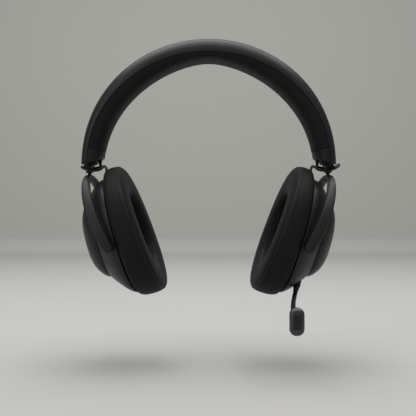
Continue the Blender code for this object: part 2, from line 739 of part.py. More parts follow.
def make_driver(side, parent, finishes):
    edge = HOUSING_WALL + FIT
    outline = [oval(out, housing_inset(out) + edge, cup_lift(out)) for out in (SEAM, BAFFLE_BACK)]
    turns = [2 * math.pi * k / OVAL_POINTS for k in range(OVAL_POINTS)]
    hole = []
    for out in (BAFFLE_BACK, SEAM):
        radius = DRIVER_HOLE_RADIUS
        hole.append([Vector((out, radius * math.cos(t), radius * math.sin(t))) for t in turns])
    baffle = loft(side + "_baffle", outline + hole, True)
    cup_piece(side + "_baffle", baffle, parent, finishes["matte"])

    back = DRIVER_FRONT + DRIVER_DEPTH
    shoulder = DRIVER_FRONT + DRIVER_DEPTH / 3
    waist = 0.72 * DRIVER_RADIUS
    vent = 0.4 * DRIVER_RADIUS
    bowl = [
        (DRIVER_RADIUS, DRIVER_FRONT),
        (DRIVER_RADIUS, shoulder),
        (waist, back),
        (vent, back),
        (vent, back - DRIVER_WALL),
        (waist - DRIVER_WALL / 2, back - DRIVER_WALL),
        (DRIVER_RADIUS - 1.5 * DRIVER_WALL, shoulder - DRIVER_WALL / 3),
        (DRIVER_RADIUS - 1.5 * DRIVER_WALL, DRIVER_FRONT),
    ]
    frame = lathe(side + "_driver_frame", bowl, wrap=True)
    cup_piece(side + "_driver_frame", frame, parent, finishes["matte"])
    rim = DRIVER_RADIUS - 1.5 * DRIVER_WALL - FIT
    film = 2 * FIT
    cone = [
        (0.15 * rim, DRIVER_FRONT - FIT),
        (0.5 * rim, DRIVER_FRONT + FIT),
        (rim, DRIVER_FRONT + FIT),
        (rim, DRIVER_FRONT + FIT + film),
        (0.5 * rim, DRIVER_FRONT + FIT + film),
        (0.15 * rim, DRIVER_FRONT - FIT + film),
    ]
    diaphragm = lathe(side + "_diaphragm", cone)
    cup_piece(side + "_diaphragm", diaphragm, parent, finishes["film"])
    magnet = lathe(side + "_driver_magnet", [(MAGNET_RADIUS, MAGNET_FRONT), (MAGNET_RADIUS, MAGNET_BACK)])
    cup_piece(side + "_driver_magnet", magnet, parent, finishes["steel"])


def make_inner_block(name, size, parent, finish):
    """A flat block on the back of the magnet."""
    place = Matrix.Translation((MAGNET_BACK + FIT + size[0] / 2, 0, 0))
    return cup_piece(name, box_mesh(name, size, place), parent, finish)


# Controls and microphone on the left cup


def wheel_frame(grow):
    """The volume wheel's axis runs along the cup's axis. Its rim stands proud of the housing."""
    frame = radial_frame(WHEEL_OUT, WHEEL_ANGLE)
    inward = frame.col[2].to_3d() * (WHEEL_PROUD - WHEEL_RADIUS)
    low = Vector((-WHEEL_THICKNESS / 2 - grow, 0, 0))
    return aim(frame.translation + inward + low, Vector((1, 0, 0)), Vector((0, 1, 0)))


def make_controls(parent, finishes):
    wheel = cylinder("volume_wheel", WHEEL_RADIUS, WHEEL_THICKNESS, wheel_frame(0))
    cup_piece("volume_wheel", wheel, parent, finishes["matte"])
    for name, angle in (("power_button", POWER_ANGLE), ("mute_button", MUTE_ANGLE)):
        flange = BUTTON_RADIUS + 2 * BUTTON_FLANGE
        profile = [
            (flange, -BUTTON_STEM),
            (flange, BUTTON_FLANGE - BUTTON_STEM),
            (BUTTON_RADIUS, BUTTON_FLANGE - BUTTON_STEM),
            (BUTTON_RADIUS, BUTTON_PROUD / 2),
            (BUTTON_RADIUS - BUTTON_PROUD / 2, BUTTON_PROUD),
        ]
        button = turned(name, profile, housing_frame(CONTROL_OUT, angle), 20)
        cup_piece(name, button, parent, finishes["matte"])

    frame = housing_frame(CONTROL_OUT, PORT_ANGLE)
    long, short, deep = PORT_SIZE
    rings = []
    for grow, height in ((0, -deep), (0, 0), (-PORT_WALL, 0), (-PORT_WALL, PORT_WALL - deep)):
        half_long, half_short = long / 2 + grow, short / 2 + grow
        corner = half_short / 2
        outline = [
            (half_long, half_short - corner),
            (half_long - corner, half_short),
            (corner - half_long, half_short),
            (-half_long, half_short - corner),
            (-half_long, corner - half_short),
            (corner - half_long, -half_short),
            (half_long - corner, -half_short),
            (half_long, corner - half_short),
        ]
        rings.append([frame @ Vector((x, y, height)) for x, y in outline])
    cup_piece("charging_port", loft("charging_port", rings), parent, finishes["steel"])


def make_microphone(parent, finishes):
    to_mic = resting_cup(1).inverted()
    frame = radial_frame(SOCKET_OUT, SOCKET_ANGLE)
    bore = PLUG_RADIUS + FIT
    inner_end = SOCKET_PROUD - SOCKET_LENGTH
    wall = [
        (SOCKET_RADIUS, inner_end),
        (SOCKET_RADIUS, SOCKET_PROUD),
        (bore, SOCKET_PROUD),
        (bore, inner_end),
    ]
    socket = turned("mic_socket", wall, frame, wrap=True)
    cup_piece("mic_socket", socket, parent, finishes["matte"])
    collar = SOCKET_PROUD + FIT
    collar_end = collar + COLLAR_LENGTH
    profile = [
        (PLUG_RADIUS / 2, collar - PLUG_LENGTH),
        (PLUG_RADIUS, collar - PLUG_LENGTH + PLUG_RADIUS / 2),
        (PLUG_RADIUS, collar),
        (COLLAR_RADIUS, collar),
        (BOOM_RADIUS, collar_end),
    ]
    cup_piece("mic_plug", turned("mic_plug", profile, frame), parent, finishes["matte"])

    # The boom leaves the collar, bends forwards and comes down into the top of the capsule
    half = CAPSULE_SIZE / 2
    socket_floor = CAPSULE_CENTRE + Vector((0, 0, half.z)) + BOOM_ENTRY
    last = to_mic @ (socket_floor + Vector((0, 0, FIT)))
    start = frame @ Vector((0, 0, collar_end + FIT))
    end = to_mic @ (socket_floor + Vector((0, 0, BOOM_RADIUS - BOOM_ENTRY.z)))
    leaving = frame.col[2].to_3d() * BOOM_LEAVING
    arriving = to_mic.to_3x3() @ BOOM_ARRIVING
    path = []
    steps = 20
    for k in range(steps + 1):
        t = k / steps
        s = 1 - t
        bend = (start + leaving) * (3 * s * s * t) + (end + arriving) * (3 * s * t * t)
        path.append(start * s**3 + bend + end * t**3)
    path.append(last)
    boom = tube("mic_boom", path, BOOM_RADIUS, parent, finishes["rubber"])
    boom.location = (-PIVOT_OUT, 0, -PIVOT_UP)

    rings = []
    levels = 10
    for k in range(levels + 1):
        height = -math.cos(math.pi * (0.06 + 0.88 * k / levels))
        size = (1 - abs(height) ** CAPSULE_POWER) ** (1 / CAPSULE_POWER)
        ring = []
        for j in range(20):
            angle = 2 * math.pi * j / 20
            x = half.x * size * signed_power(math.cos(angle), 2 / CAPSULE_POWER)
            y = half.y * size * signed_power(math.sin(angle), 2 / CAPSULE_POWER)
            ring.append(to_mic @ (CAPSULE_CENTRE + Vector((x, y, half.z * height))))
        rings.append(ring)
    body = cup_piece("mic_body", loft("mic_body", rings), parent, finishes["matte"])
    upright = to_mic.to_3x3().to_4x4()
    face = to_mic @ (CAPSULE_CENTRE - Vector((0, half.y, 0)))
    pocket = GRILLE_SIZE + Vector((2 * FIT, 2 * GRILLE_SIZE.y, 2 * FIT))
    combine(body, box_mesh("grille_pocket", pocket, Matrix.Translation(face) @ upright), "DIFFERENCE")
    boom_hole = aim(to_mic @ socket_floor, upright.to_3x3() @ Vector((0, 0, 1)))
    hole = cylinder("boom_hole", BOOM_RADIUS + FIT, CAPSULE_SIZE.z, boom_hole, 16)
    combine(body, hole, "DIFFERENCE")
    seat = to_mic @ (CAPSULE_CENTRE - Vector((0, half.y - GRILLE_SIZE.y + FIT, 0)))
    grille = box_mesh("mic_grille", GRILLE_SIZE, Matrix.Translation(seat) @ upright)
    cup_piece("mic_grille", grille, parent, finishes["cloth"])


# Leads

# Each side's loop round the slider: its centre's x from the slider's axis, its reach in x
# and its outer side's lift
LOOPS = {"left": (-0.0010, 0.0102, 0.0020), "right": (-0.0026, 0.0089, 0.0002)}
LOOP_HALF_DEPTH = 0.0094
# Angle round the loop from its inner side towards the back, and height from the cover's end
LOOP_COURSE = [
    (50, -0.0017),
    (90, -0.0027),
    (135, -0.0030),
    (180, -0.0022),
    (225, -0.0036),
    (270, -0.0054),
    (315, -0.0046),
    (350, -0.0022),
]
# From the loop over its crest and down to the cup, from the slider's axis at the cover's end
TAIL_COURSE = [
    Vector((-0.0122, 0.0034, -0.0014)),
    Vector((-0.0126, 0.0105, -0.0028)),
    Vector((-0.0120, 0.0180, -0.0064)),
    Vector((-0.0122, 0.0232, -0.0100)),
]


def self_gap(points, radius):
    """The least gap of a tube to itself, between stretches more than half a turn apart along it."""
    least = math.inf
    for k, point in enumerate(points):
        run = 0
        for last, other in zip(points[k:], points[k + 1 :]):
            run += (other - last).length
            if run > math.pi * LOOP_HALF_DEPTH:
                least = min(least, (other - point).length - 2 * radius)
    return least


def make_lead(side, sign, root, slide_axis, tilt_axis, finishes):
    gland_x = SLIDER_X - UPPER_GLAND_INSET
    under = END_Z + END_CAP_LIFT * (GROOVE_CURVE[0] - gland_x) / BAND_PAD_END
    top = Vector((gland_x, sign * UPPER_GLAND_Y, under + GLAND_SINK))
    down = aim(top, Vector((0, 0, -1)))
    upper = cylinder(side + "_upper_gland", GLAND_RADIUS, GLAND_LENGTH, down, 14)
    add_object(side + "_upper_gland", upper, root, finish=finishes["rubber"])
    cap = bpy.data.objects[side + "_end_cap"]
    hole = down @ Matrix.Translation((0, 0, -FIT))
    combine(
        cap, cylinder(side + "_gland_hole", GLAND_RADIUS + FIT, 2 * GLAND_LENGTH, hole, 14), "DIFFERENCE"
    )

    cup = resting_cup(sign)
    entry = radial_frame(LOWER_GLAND_OUT, sign * LOWER_GLAND_ANGLE)
    lower = turned(
        side + "_lower_gland",
        [(GLAND_RADIUS, -GLAND_SINK), (GLAND_RADIUS, GLAND_LENGTH - GLAND_SINK)],
        entry,
        14,
    )
    cup_piece(side + "_lower_gland", lower, tilt_axis, finishes["rubber"])

    loop_start = Vector((SLIDER_X, 0, END_Z))
    centre, reach, lift = LOOPS[side]
    route = [down @ Vector((0, 0, GLAND_LENGTH + LEAD_RADIUS))]
    for degrees, height in LOOP_COURSE:
        angle = math.radians(degrees)
        y = sign * LOOP_HALF_DEPTH * math.sin(angle)
        height += lift * max(0, -math.cos(angle)) ** 2
        route.append(loop_start + Vector((centre - reach * math.cos(angle), y, height)))
    route += [loop_start + Vector((point.x, sign * point.y, point.z)) for point in TAIL_COURSE]
    landing = GLAND_LENGTH - GLAND_SINK + FIT
    route.append(cup @ (entry @ Vector((0, 0, landing + LEAD_RADIUS))))
    path = smooth_path(route, 2)
    path.insert(0, down @ Vector((0, 0, GLAND_LENGTH + FIT)))
    path.append(cup @ (entry @ Vector((0, 0, landing))))
    gap = self_gap(smooth_path(route, 8), LEAD_RADIUS)
    print(f"{side} lead: least gap to itself {1000 * gap:.2f} mm")
    lead = tube(side + "_lead", path, LEAD_RADIUS, slide_axis, finishes["rubber"])
    lead.location = (-SLIDER_X, 0, -END_Z)


def make_side(side, sign, headband, finishes):
    """One cup with all that carries it. The right side is the left one turned round the headset's axis."""
    turn = 0 if sign > 0 else math.pi
    root = add_axis(side + "_side", headband, rotation=(0, 0, turn))
    slide_axis = add_axis(side + "_slide_axis", root, (SLIDER_X, 0, END_Z))
    swivel_axis = add_axis(side + "_swivel_axis", slide_axis, rotation=(0, 0, sign * REST_SWIVEL))
    pivot = PIVOT - Vector((SLIDER_X, 0, END_Z))
    tilt_axis = add_axis(side + "_tilt_axis", swivel_axis, pivot, (0, CUP_TILT, 0))
    make_headband_end(side, root, finishes)
    make_slider(side, slide_axis, finishes)
    make_yoke(side, swivel_axis, finishes)
    make_housing(side, sign, tilt_axis, finishes)
    make_cap(side, tilt_axis, finishes)
    make_ear_pad(side, tilt_axis, finishes)
    make_driver(side, tilt_axis, finishes)
    make_lead(side, sign, root, slide_axis, tilt_axis, finishes)
    if side == "left":
        make_inner_block("circuit_board", BOARD_SIZE, tilt_axis, finishes["board"])
        make_controls(tilt_axis, finishes)
        make_microphone(tilt_axis, finishes)
    else:
        make_inner_block("battery", BATTERY_SIZE, tilt_axis, finishes["film"])


def main():
    for obj in list(bpy.data.objects):
        bpy.data.objects.remove(obj)
    finishes = {
        "satin": material("satin_black_plastic", (0.013, 0.013, 0.014), 0.42),
        "matte": material("matte_black_plastic", (0.010, 0.010, 0.011), 0.60),
        "leatherette": material("black_leatherette", (0.012, 0.012, 0.013), 0.52),
        "rubber": material("black_cable_jacket", (0.006, 0.006, 0.006), 0.45),
        "cloth": material("black_cloth", (0.008, 0.008, 0.009), 0.90),
        "steel": material("steel", (0.55, 0.55, 0.56), 0.35, 1.0),
        "film": material("grey_film", (0.15, 0.15, 0.16), 0.40),
        "board": material("green_board", (0.01, 0.08, 0.03), 0.50),
    }
    headband = add_axis("headband")
    make_headband(headband, finishes)
    for side, sign in (("left", 1), ("right", -1)):
        make_side(side, sign, headband, finishes)


main()
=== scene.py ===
"""An over-ear gaming headset: its covers, pads, leads and finishes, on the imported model's frame."""

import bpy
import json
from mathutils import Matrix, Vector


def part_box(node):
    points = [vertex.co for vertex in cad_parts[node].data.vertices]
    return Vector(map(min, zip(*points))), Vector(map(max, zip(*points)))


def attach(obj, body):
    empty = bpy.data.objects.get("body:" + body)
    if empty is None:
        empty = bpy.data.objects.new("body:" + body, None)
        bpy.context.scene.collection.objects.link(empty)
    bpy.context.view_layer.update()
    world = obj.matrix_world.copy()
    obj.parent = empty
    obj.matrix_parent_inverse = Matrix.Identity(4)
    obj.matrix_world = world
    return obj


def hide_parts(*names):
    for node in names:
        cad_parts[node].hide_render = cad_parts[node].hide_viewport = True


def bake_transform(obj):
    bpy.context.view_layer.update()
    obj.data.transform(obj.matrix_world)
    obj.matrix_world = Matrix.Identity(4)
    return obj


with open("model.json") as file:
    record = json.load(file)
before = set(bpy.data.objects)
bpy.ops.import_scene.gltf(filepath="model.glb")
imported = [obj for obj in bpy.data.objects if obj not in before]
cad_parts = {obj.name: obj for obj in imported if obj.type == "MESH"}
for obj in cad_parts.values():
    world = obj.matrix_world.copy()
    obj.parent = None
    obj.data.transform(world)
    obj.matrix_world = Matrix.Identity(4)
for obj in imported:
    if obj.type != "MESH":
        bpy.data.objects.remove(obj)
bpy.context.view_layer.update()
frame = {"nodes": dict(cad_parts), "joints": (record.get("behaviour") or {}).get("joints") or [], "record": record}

import json
import math

import bpy
from mathutils import Matrix, Vector

bl_info = {
    "name": "Gaming Headset",
    "version": (1, 0, 0),
    "blender": (4, 5, 0),
    "location": "View3D > Sidebar > Headset",
    "description": "Dresses an over-ear headset with covers, pads, leads and moulded finishes",
    "category": "Add Mesh",
}

# Each side of the wearer, and the way out from the middle there
SIDES = {"left": 1, "right": -1}
# An edge sharper than this many degrees is an edge of a moulding and not a part of its curves
SHARP = 38
# Two lengths that differ by less than this are the same
TOLERANCE = 0.00001


def linear(hex_colour):
    """An sRGB hex colour as linear red, green and blue."""
    parts = [int(hex_colour[k : k + 2], 16) / 255 for k in (1, 3, 5)]
    return tuple(c / 12.92 if c <= 0.04045 else ((c + 0.055) / 1.055) ** 2.4 for c in parts)


# Settings


class HeadsetColours(bpy.types.PropertyGroup):
    """The colours of the headset and its stage"""

    shell: bpy.props.FloatVectorProperty(
        name="Shell",
        description="Satin plastic of the cover, yokes and cups",
        subtype="COLOR",
        default=linear("#18191a"),
    )
    trim: bpy.props.FloatVectorProperty(
        name="Trim",
        description="Matte plastic of the band's ends, the plug and the capsule",
        subtype="COLOR",
        default=linear("#0b0c0d"),
    )
    leatherette: bpy.props.FloatVectorProperty(
        name="Leatherette",
        description="Skin of the ear pads and the headband pad",
        subtype="COLOR",
        default=linear("#0f1012"),
    )
    jacket: bpy.props.FloatVectorProperty(
        name="Jacket",
        description="Jacket of the leads and the boom",
        subtype="COLOR",
        default=linear("#0a0b0c"),
    )
    cloth: bpy.props.FloatVectorProperty(
        name="Cloth",
        description="Cloth over the drivers",
        subtype="COLOR",
        default=linear("#0f1011"),
    )
    floor: bpy.props.FloatVectorProperty(
        name="Floor",
        description="Floor under the headset",
        subtype="COLOR",
        default=linear("#b2b1b0"),
    )
    wall: bpy.props.FloatVectorProperty(
        name="Wall",
        description="Backdrop behind the headset",
        subtype="COLOR",
        default=linear("#b4b4ae"),
    )


class HeadsetSizes(bpy.types.PropertyGroup):
    """The sizes of the headset's finishing details"""

    edge: bpy.props.FloatProperty(
        name="Edge",
        description="Rounding of a moulded edge",
        default=0.0005,
        unit="LENGTH",
    )
    pebble: bpy.props.FloatProperty(
        name="Pebble",
        description="Width of a pebble in the leatherette's grain",
        default=0.0013,
        unit="LENGTH",
    )
    spark: bpy.props.FloatProperty(
        name="Spark grain",
        description="Width of a grain in the moulded plastic's spark-eroded surface",
        default=0.0007,
        unit="LENGTH",
    )
    stitch: bpy.props.FloatProperty(
        name="Stitch",
        description="Length of one stitch",
        default=0.0030,
        unit="LENGTH",
    )
    thread: bpy.props.FloatProperty(
        name="Thread",
        description="Radius of the sewing thread",
        default=0.00028,
        unit="LENGTH",
    )
    lead: bpy.props.FloatProperty(
        name="Lead",
        description="Diameter of the leads between the headband and the cups",
        default=0.0024,
        unit="LENGTH",
    )
    swell: bpy.props.FloatProperty(
        name="Swell",
        description="The most that a pad's skin moves when its foam fills it",
        default=0.0016,
        unit="LENGTH",
    )


# Selection and mesh helpers


def deselect():
    if bpy.context.mode != "OBJECT":
        bpy.ops.object.mode_set(mode="OBJECT")
    bpy.ops.object.select_all(action="DESELECT")


def activate(obj):
    deselect()
    obj.select_set(True)
    bpy.context.view_layer.objects.active = obj


def merged_copy(node, name):
    """A copy of a solid, with its loose triangles merged and paired into quads."""
    mesh = frame["nodes"][node].data.copy()
    mesh.materials.clear()
    obj = bpy.data.objects.new(name, mesh)
    bpy.context.scene.collection.objects.link(obj)
    activate(obj)
    if mesh.has_custom_normals:
        bpy.ops.mesh.customdata_custom_splitnormals_clear()
    bpy.ops.object.mode_set(mode="EDIT")
    bpy.ops.mesh.select_all(action="SELECT")
    bpy.ops.mesh.remove_doubles(threshold=TOLERANCE)
    bpy.ops.mesh.tris_convert_to_quads(face_threshold=math.radians(30), shape_threshold=math.radians(60))
    bpy.ops.object.mode_set(mode="OBJECT")
    return obj


def apply_modifier(obj, kind, **settings):
    activate(obj)
    modifier = obj.modifiers.new(kind.title(), kind)
    for key, value in settings.items():
        setattr(modifier, key, value)
    bpy.ops.object.modifier_apply(modifier=modifier.name)


def bevel(obj, width, segments, angle):
    """Rounds the edges sharper than the angle."""
    apply_modifier(
        obj,
        "BEVEL",
        width=width,
        segments=segments,
        limit_method="ANGLE",
        angle_limit=math.radians(angle),
    )


def round_edges(obj, width):
    """Rounds a moulding's sharp edges, and shades the rest as one smooth skin."""
    bevel(obj, width, 2, SHARP)
    bpy.ops.object.shade_smooth_by_angle(angle=math.radians(SHARP))


def subdivide(obj):
    apply_modifier(obj, "SUBSURF", levels=1, render_levels=1)


def smooth_curves(obj, angle=SHARP):
    """Makes the flats of a solid's curves smooth, and keeps the edges sharper than the angle."""
    activate(obj)
    bpy.ops.object.mode_set(mode="EDIT")
    bpy.ops.mesh.select_mode(type="EDGE")
    bpy.ops.mesh.select_all(action="DESELECT")
    bpy.ops.mesh.edges_select_sharp(sharpness=math.radians(angle))
    bpy.ops.transform.edge_crease(value=1.0)
    bpy.ops.object.mode_set(mode="OBJECT")
    subdivide(obj)


def pick(obj, kind, test):
    """Selects the faces or edges that pass a test, and leaves the mesh in edit mode."""
    activate(obj)
    bpy.ops.object.mode_set(mode="EDIT")
    bpy.ops.mesh.select_mode(type=kind)
    bpy.ops.mesh.select_all(action="DESELECT")
    bpy.ops.object.mode_set(mode="OBJECT")
    for element in obj.data.polygons if kind == "FACE" else obj.data.edges:
        element.select = test(element)
    bpy.ops.object.mode_set(mode="EDIT")


def emboss(obj, test, rim, slope, depth, each=False):
    """Raises or sinks the faces that pass a test, inside a flat rim and a slope."""
    pick(obj, "FACE", test)
    bpy.ops.mesh.inset(thickness=rim, use_individual=each)
    bpy.ops.mesh.inset(thickness=slope, depth=depth, use_individual=each)
    bpy.ops.object.mode_set(mode="OBJECT")


def rounded_block(name, size, place, axis, corner, segments):
    """A block whose four edges along an axis, numbered from 0, are rounded."""
    deselect()
    bpy.ops.mesh.primitive_cube_add(size=1, location=place, scale=size)
    block = bpy.context.object
    block.name = name
    bpy.ops.object.transform_apply(location=True, rotation=True, scale=True)

    def runs_along(edge):
        first, last = (block.data.vertices[k].co for k in edge.vertices)
        return abs(first[axis] - last[axis]) > 0.5 * size[axis]

    pick(block, "EDGE", runs_along)
    bpy.ops.mesh.bevel(offset=corner, segments=segments)
    bpy.ops.object.mode_set(mode="OBJECT")
    return block


def dress(obj, finish, body, *nodes, slot=None):
    """Gives a finished piece its material, its body and the solids that it stands for."""
    obj.data.materials.clear()
    obj.data.materials.append(FINISHES[finish])
    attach(obj, body)
    if nodes:
        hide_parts(*nodes)


def refine(node, name, finish, body, edge, curved=False):
    """A copy of a solid with its edges rounded, which stands for the solid."""
    obj = merged_copy(node, name)
    if curved:
        smooth_curves(obj)
    round_edges(obj, edge)
    dress(obj, finish, body, node)
    return obj


def tubes(name, paths, radius, sides=3, angle=50):
    """Round tubes along the paths, as one mesh, smooth but for edges sharper than the angle."""
    deselect()
    curve = bpy.data.curves.new(name, "CURVE")
    curve.dimensions = "3D"
    curve.bevel_depth = radius
    curve.bevel_resolution = sides
    curve.use_fill_caps = True
    for path in paths:
        spline = curve.splines.new("POLY")
        spline.points.add(len(path) - 1)
        for target, point in zip(spline.points, path):
            target.co = (*point, 1.0)
    obj = bpy.data.objects.new(name, curve)
    bpy.context.scene.collection.objects.link(obj)
    activate(obj)
    bpy.ops.object.convert(target="MESH")
    bpy.ops.object.shade_smooth_by_angle(angle=math.radians(angle))
    return bpy.context.object


# Materials


def add_node(tree, kind, settings=None, values=None, links=None):
    """Adds a node, with its own settings, its sockets' values and its sockets' links."""
    node = tree.nodes.new(kind)
    for key, value in (settings or {}).items():
        setattr(node, key, value)
    for key, value in (values or {}).items():
        node.inputs[key].default_value = value
    for key, (source, output) in (links or {}).items():
        tree.links.new(source.outputs[output], node.inputs[key])
    return node


def noise(tree, place, values):
    return add_node(tree, "ShaderNodeTexNoise", values=values, links={"Vector": place})


def spread(tree, pattern, old=(0, 1), new=(0, 1)):
    """Spreads one range of a pattern's values over another."""
    values = {"From Min": old[0], "From Max": old[1], "To Min": new[0], "To Max": new[1]}
    return add_node(tree, "ShaderNodeMapRange", values=values, links={"Value": pattern})


# A Mix node's colour sockets share their names with its number sockets, so they go by place
MIX_A = 6
MIX_B = 7
MIX_COLOUR = 2
# The width of the patches that hands polish, of the knit's cells and of the scratches on steel
HANDLED_PATCH = 0.028
CLOTH_CELL = 0.0013
SCRATCH_WIDTH = 0.0004
SCRATCH_LENGTH = 0.006


def blank_material(name):
    material = bpy.data.materials.new(name)
    material.use_nodes = True
    material.node_tree.nodes.clear()
    return material, material.node_tree


def rgba(colour, gain=1.0):
    return (*[min(1.0, channel * gain) for channel in colour], 1.0)


def surface(tree, tones, pattern, gloss, bump, values):
    """Makes a material's shader, whose tone follows a pattern.

    Its gloss is a node or None. Its bump is None, or a pattern with its strength and its real depth.
    """
    tone = add_node(
        tree,
        "ShaderNodeMix",
        settings={"data_type": "RGBA"},
        values={MIX_A: tones[0], MIX_B: tones[1]},
        links={"Factor": pattern},
    )
    links = {"Base Color": (tone, MIX_COLOUR)}
    if gloss:
        links["Roughness"] = (gloss, "Result")
    if bump:
        height, strength, depth = bump
        relief = add_node(
            tree,
            "ShaderNodeBump",
            values={"Strength": strength, "Distance": depth},
            links={"Height": height},
        )
        links["Normal"] = (relief, "Normal")
    shader = add_node(tree, "ShaderNodeBsdfPrincipled", values=values, links=links)
    add_node(tree, "ShaderNodeOutputMaterial", links={"Surface": (shader, "BSDF")})


def moulded_plastic(name, colour, roughness, grain, depth, shine=0.4):
    """ABS moulded in a spark-eroded tool.

    The fine grain breaks up the light into a soft satin glow, and hands leave patches that are a little
    shinier than the rest. The real grain is about 0.1 mm, and it is drawn coarser so that it shows.
    """
    material, tree = blank_material(name)
    place = add_node(tree, "ShaderNodeTexCoord")
    spark = noise(tree, (place, "Object"), {"Scale": 1 / grain, "Detail": 3.0, "Roughness": 0.6})
    patches = {"Scale": 1 / HANDLED_PATCH, "Detail": 4.0, "Roughness": 0.55, "Distortion": 0.4}
    handled = noise(tree, (place, "Object"), patches)
    gloss = spread(tree, (handled, "Fac"), (0.3, 0.7), (roughness - 0.05, roughness + 0.05))
    tones = (rgba(colour, 0.86), rgba(colour, 1.16))
    grain_bump = ((spark, "Fac"), 0.35, depth)
    surface(tree, tones, (spark, "Fac"), gloss, grain_bump, {"IOR": 1.53, "Specular IOR Level": shine})
    return material


def pebbled_leatherette(name, colour, pebble):
    """Polyurethane leatherette, embossed with a pebbled grain.

    The colour is painted lighter on the pebbles, as painted highlight, and darker in the creases between them, as
    painted shade, and the creases are also duller.
    """
    material, tree = blank_material(name)
    place = add_node(tree, "ShaderNodeTexCoord")
    drift = noise(tree, (place, "Object"), {"Scale": 1 / (3 * pebble), "Detail": 2.0})
    shifted = add_node(
        tree,
        "ShaderNodeVectorMath",
        settings={"operation": "MULTIPLY_ADD"},
        values={1: (0.4 * pebble,) * 3},
        links={0: (drift, "Color"), 2: (place, "Object")},
    )
    grain = add_node(
        tree,
        "ShaderNodeTexVoronoi",
        settings={"feature": "SMOOTH_F1"},
        values={"Scale": 1 / pebble, "Smoothness": 0.35, "Randomness": 0.9},
        links={"Vector": (shifted, "Vector")},
    )
    pillow = spread(tree, (grain, "Distance"), (0.1, 0.75), (1, 0))
    gloss = spread(tree, (pillow, "Result"), new=(0.74, 0.56))
    # Painted shade and highlight: the colour is darker in the creases and lighter on the pebbles' tops
    tones = (rgba(colour, 0.62), rgba(colour, 1.12))
    pebble_bump = ((pillow, "Result"), 0.4, 0.00012)
    surface(tree, tones, (pillow, "Result"), gloss, pebble_bump, {"IOR": 1.5, "Specular IOR Level": 0.22})
    return material


def knitted_cloth(name, colour, spacing):
    """Polyester mesh knit over the drivers: rows of small open cells between round dull yarns.

    The real cells are about 0.6 mm apart, and they are drawn coarser so that they show.
    """
    material, tree = blank_material(name)
    place = add_node(tree, "ShaderNodeTexCoord")
    cells = add_node(
        tree,
        "ShaderNodeTexVoronoi",
        values={"Scale": 1 / spacing, "Randomness": 0.15},
        links={"Vector": (place, "Object")},
    )
    yarn = spread(tree, (cells, "Distance"), (0.18, 0.5))
    gloss = spread(tree, (yarn, "Result"), new=(0.95, 0.72))
    # Painted shade: the open cells are painted near black for the shaded hollow seen through them, and the yarns
    # between are lighter
    tones = (rgba(colour, 0.25), rgba(colour, 1.5))
    yarn_bump = ((yarn, "Result"), 0.6, 0.0003)
    sheen = {"Sheen Weight": 0.15, "Sheen Roughness": 0.6}
    surface(tree, tones, (yarn, "Result"), gloss, yarn_bump, sheen)
    return material


def finished_steel(name, colour, roughness):
    """Steel, drawn and tumbled, then plated or blackened.

    It is a mirror, bright or dark, blurred by fine scratches along the part.
    """
    material, tree = blank_material(name)
    place = add_node(tree, "ShaderNodeTexCoord")
    stretch = add_node(
        tree,
        "ShaderNodeMapping",
        values={"Scale": (1 / SCRATCH_WIDTH, 1 / SCRATCH_WIDTH, 1 / SCRATCH_LENGTH)},
        links={"Vector": (place, "Object")},
    )
    scratches = noise(tree, (stretch, "Vector"), {"Scale": 1.0, "Detail": 3.0})
    gloss = spread(tree, (scratches, "Fac"), new=(roughness - 0.08, roughness + 0.08))
    tones = (rgba(colour, 0.85), rgba(colour, 1.1))
    surface(tree, tones, (scratches, "Fac"), gloss, None, {"Metallic": 1.0})
    return material


FINISHES = {}


def make_finishes():
    """The headset's materials, made once and shared by its pieces."""
    colours = bpy.context.scene.headset_colours
    sizes = bpy.context.scene.headset_sizes
    # A plastic's name, colour, roughness, grain width, grain depth and shine
    plastics = {
        # A fine grain: a broad soft glow along the cover, the yokes and the cups
        "satin_plastic": ("satin_abs", colours.shell, 0.44, sizes.spark, 0.00005, 0.27),
        # A deeper grain: the band's ends and the small mouldings stay darker and duller
        "matte_plastic": ("matte_abs", colours.trim, 0.58, sizes.spark, 0.00008, 0.28),
        # Half polished: the capsule's rounded ends catch the light
        "semi_gloss_plastic": ("semi_gloss_abs", colours.trim, 0.36, sizes.spark, 0.00003, 0.75),
        # Extruded, with hardly any grain: a narrow light runs along each lead and the boom
        "cable_jacket": ("pvc_jacket", colours.jacket, 0.46, 0.0012, 0.00003, 0.34),
        # Thin pressed film: the diaphragms are pale, with an even shine
        "film": ("polyester_film", linear("#6c6d70"), 0.3, 0.004, 0.00002),
        # Lacquer over glass cloth: the board is a smooth glossy green
        "board": ("solder_mask_board", linear("#1b4a2c"), 0.35, 0.002, 0.00002),
        # Twisted and bonded: each stitch is a little paler than the skin round it
        "thread": ("bonded_nylon_thread", linear("#1a1b1d"), 0.55, 0.0006, 0.00006),
    }
    for finish, recipe in plastics.items():
        FINISHES[finish] = moulded_plastic(*recipe)
    FINISHES["leatherette"] = pebbled_leatherette("pebbled_leatherette", colours.leatherette, sizes.pebble)
    FINISHES["cloth"] = knitted_cloth("knitted_mesh_cloth", colours.cloth, CLOTH_CELL)
    # Nickel plate: the port and the springs are bright grey
    FINISHES["steel"] = finished_steel("nickel_plated_steel", linear("#b4b4b2"), 0.3)
    # Black oxide: the clips and the pins stay dark between the plastic parts
    FINISHES["blackened_steel"] = finished_steel("black_oxide_steel", linear("#1e1e20"), 0.42)


# Leads

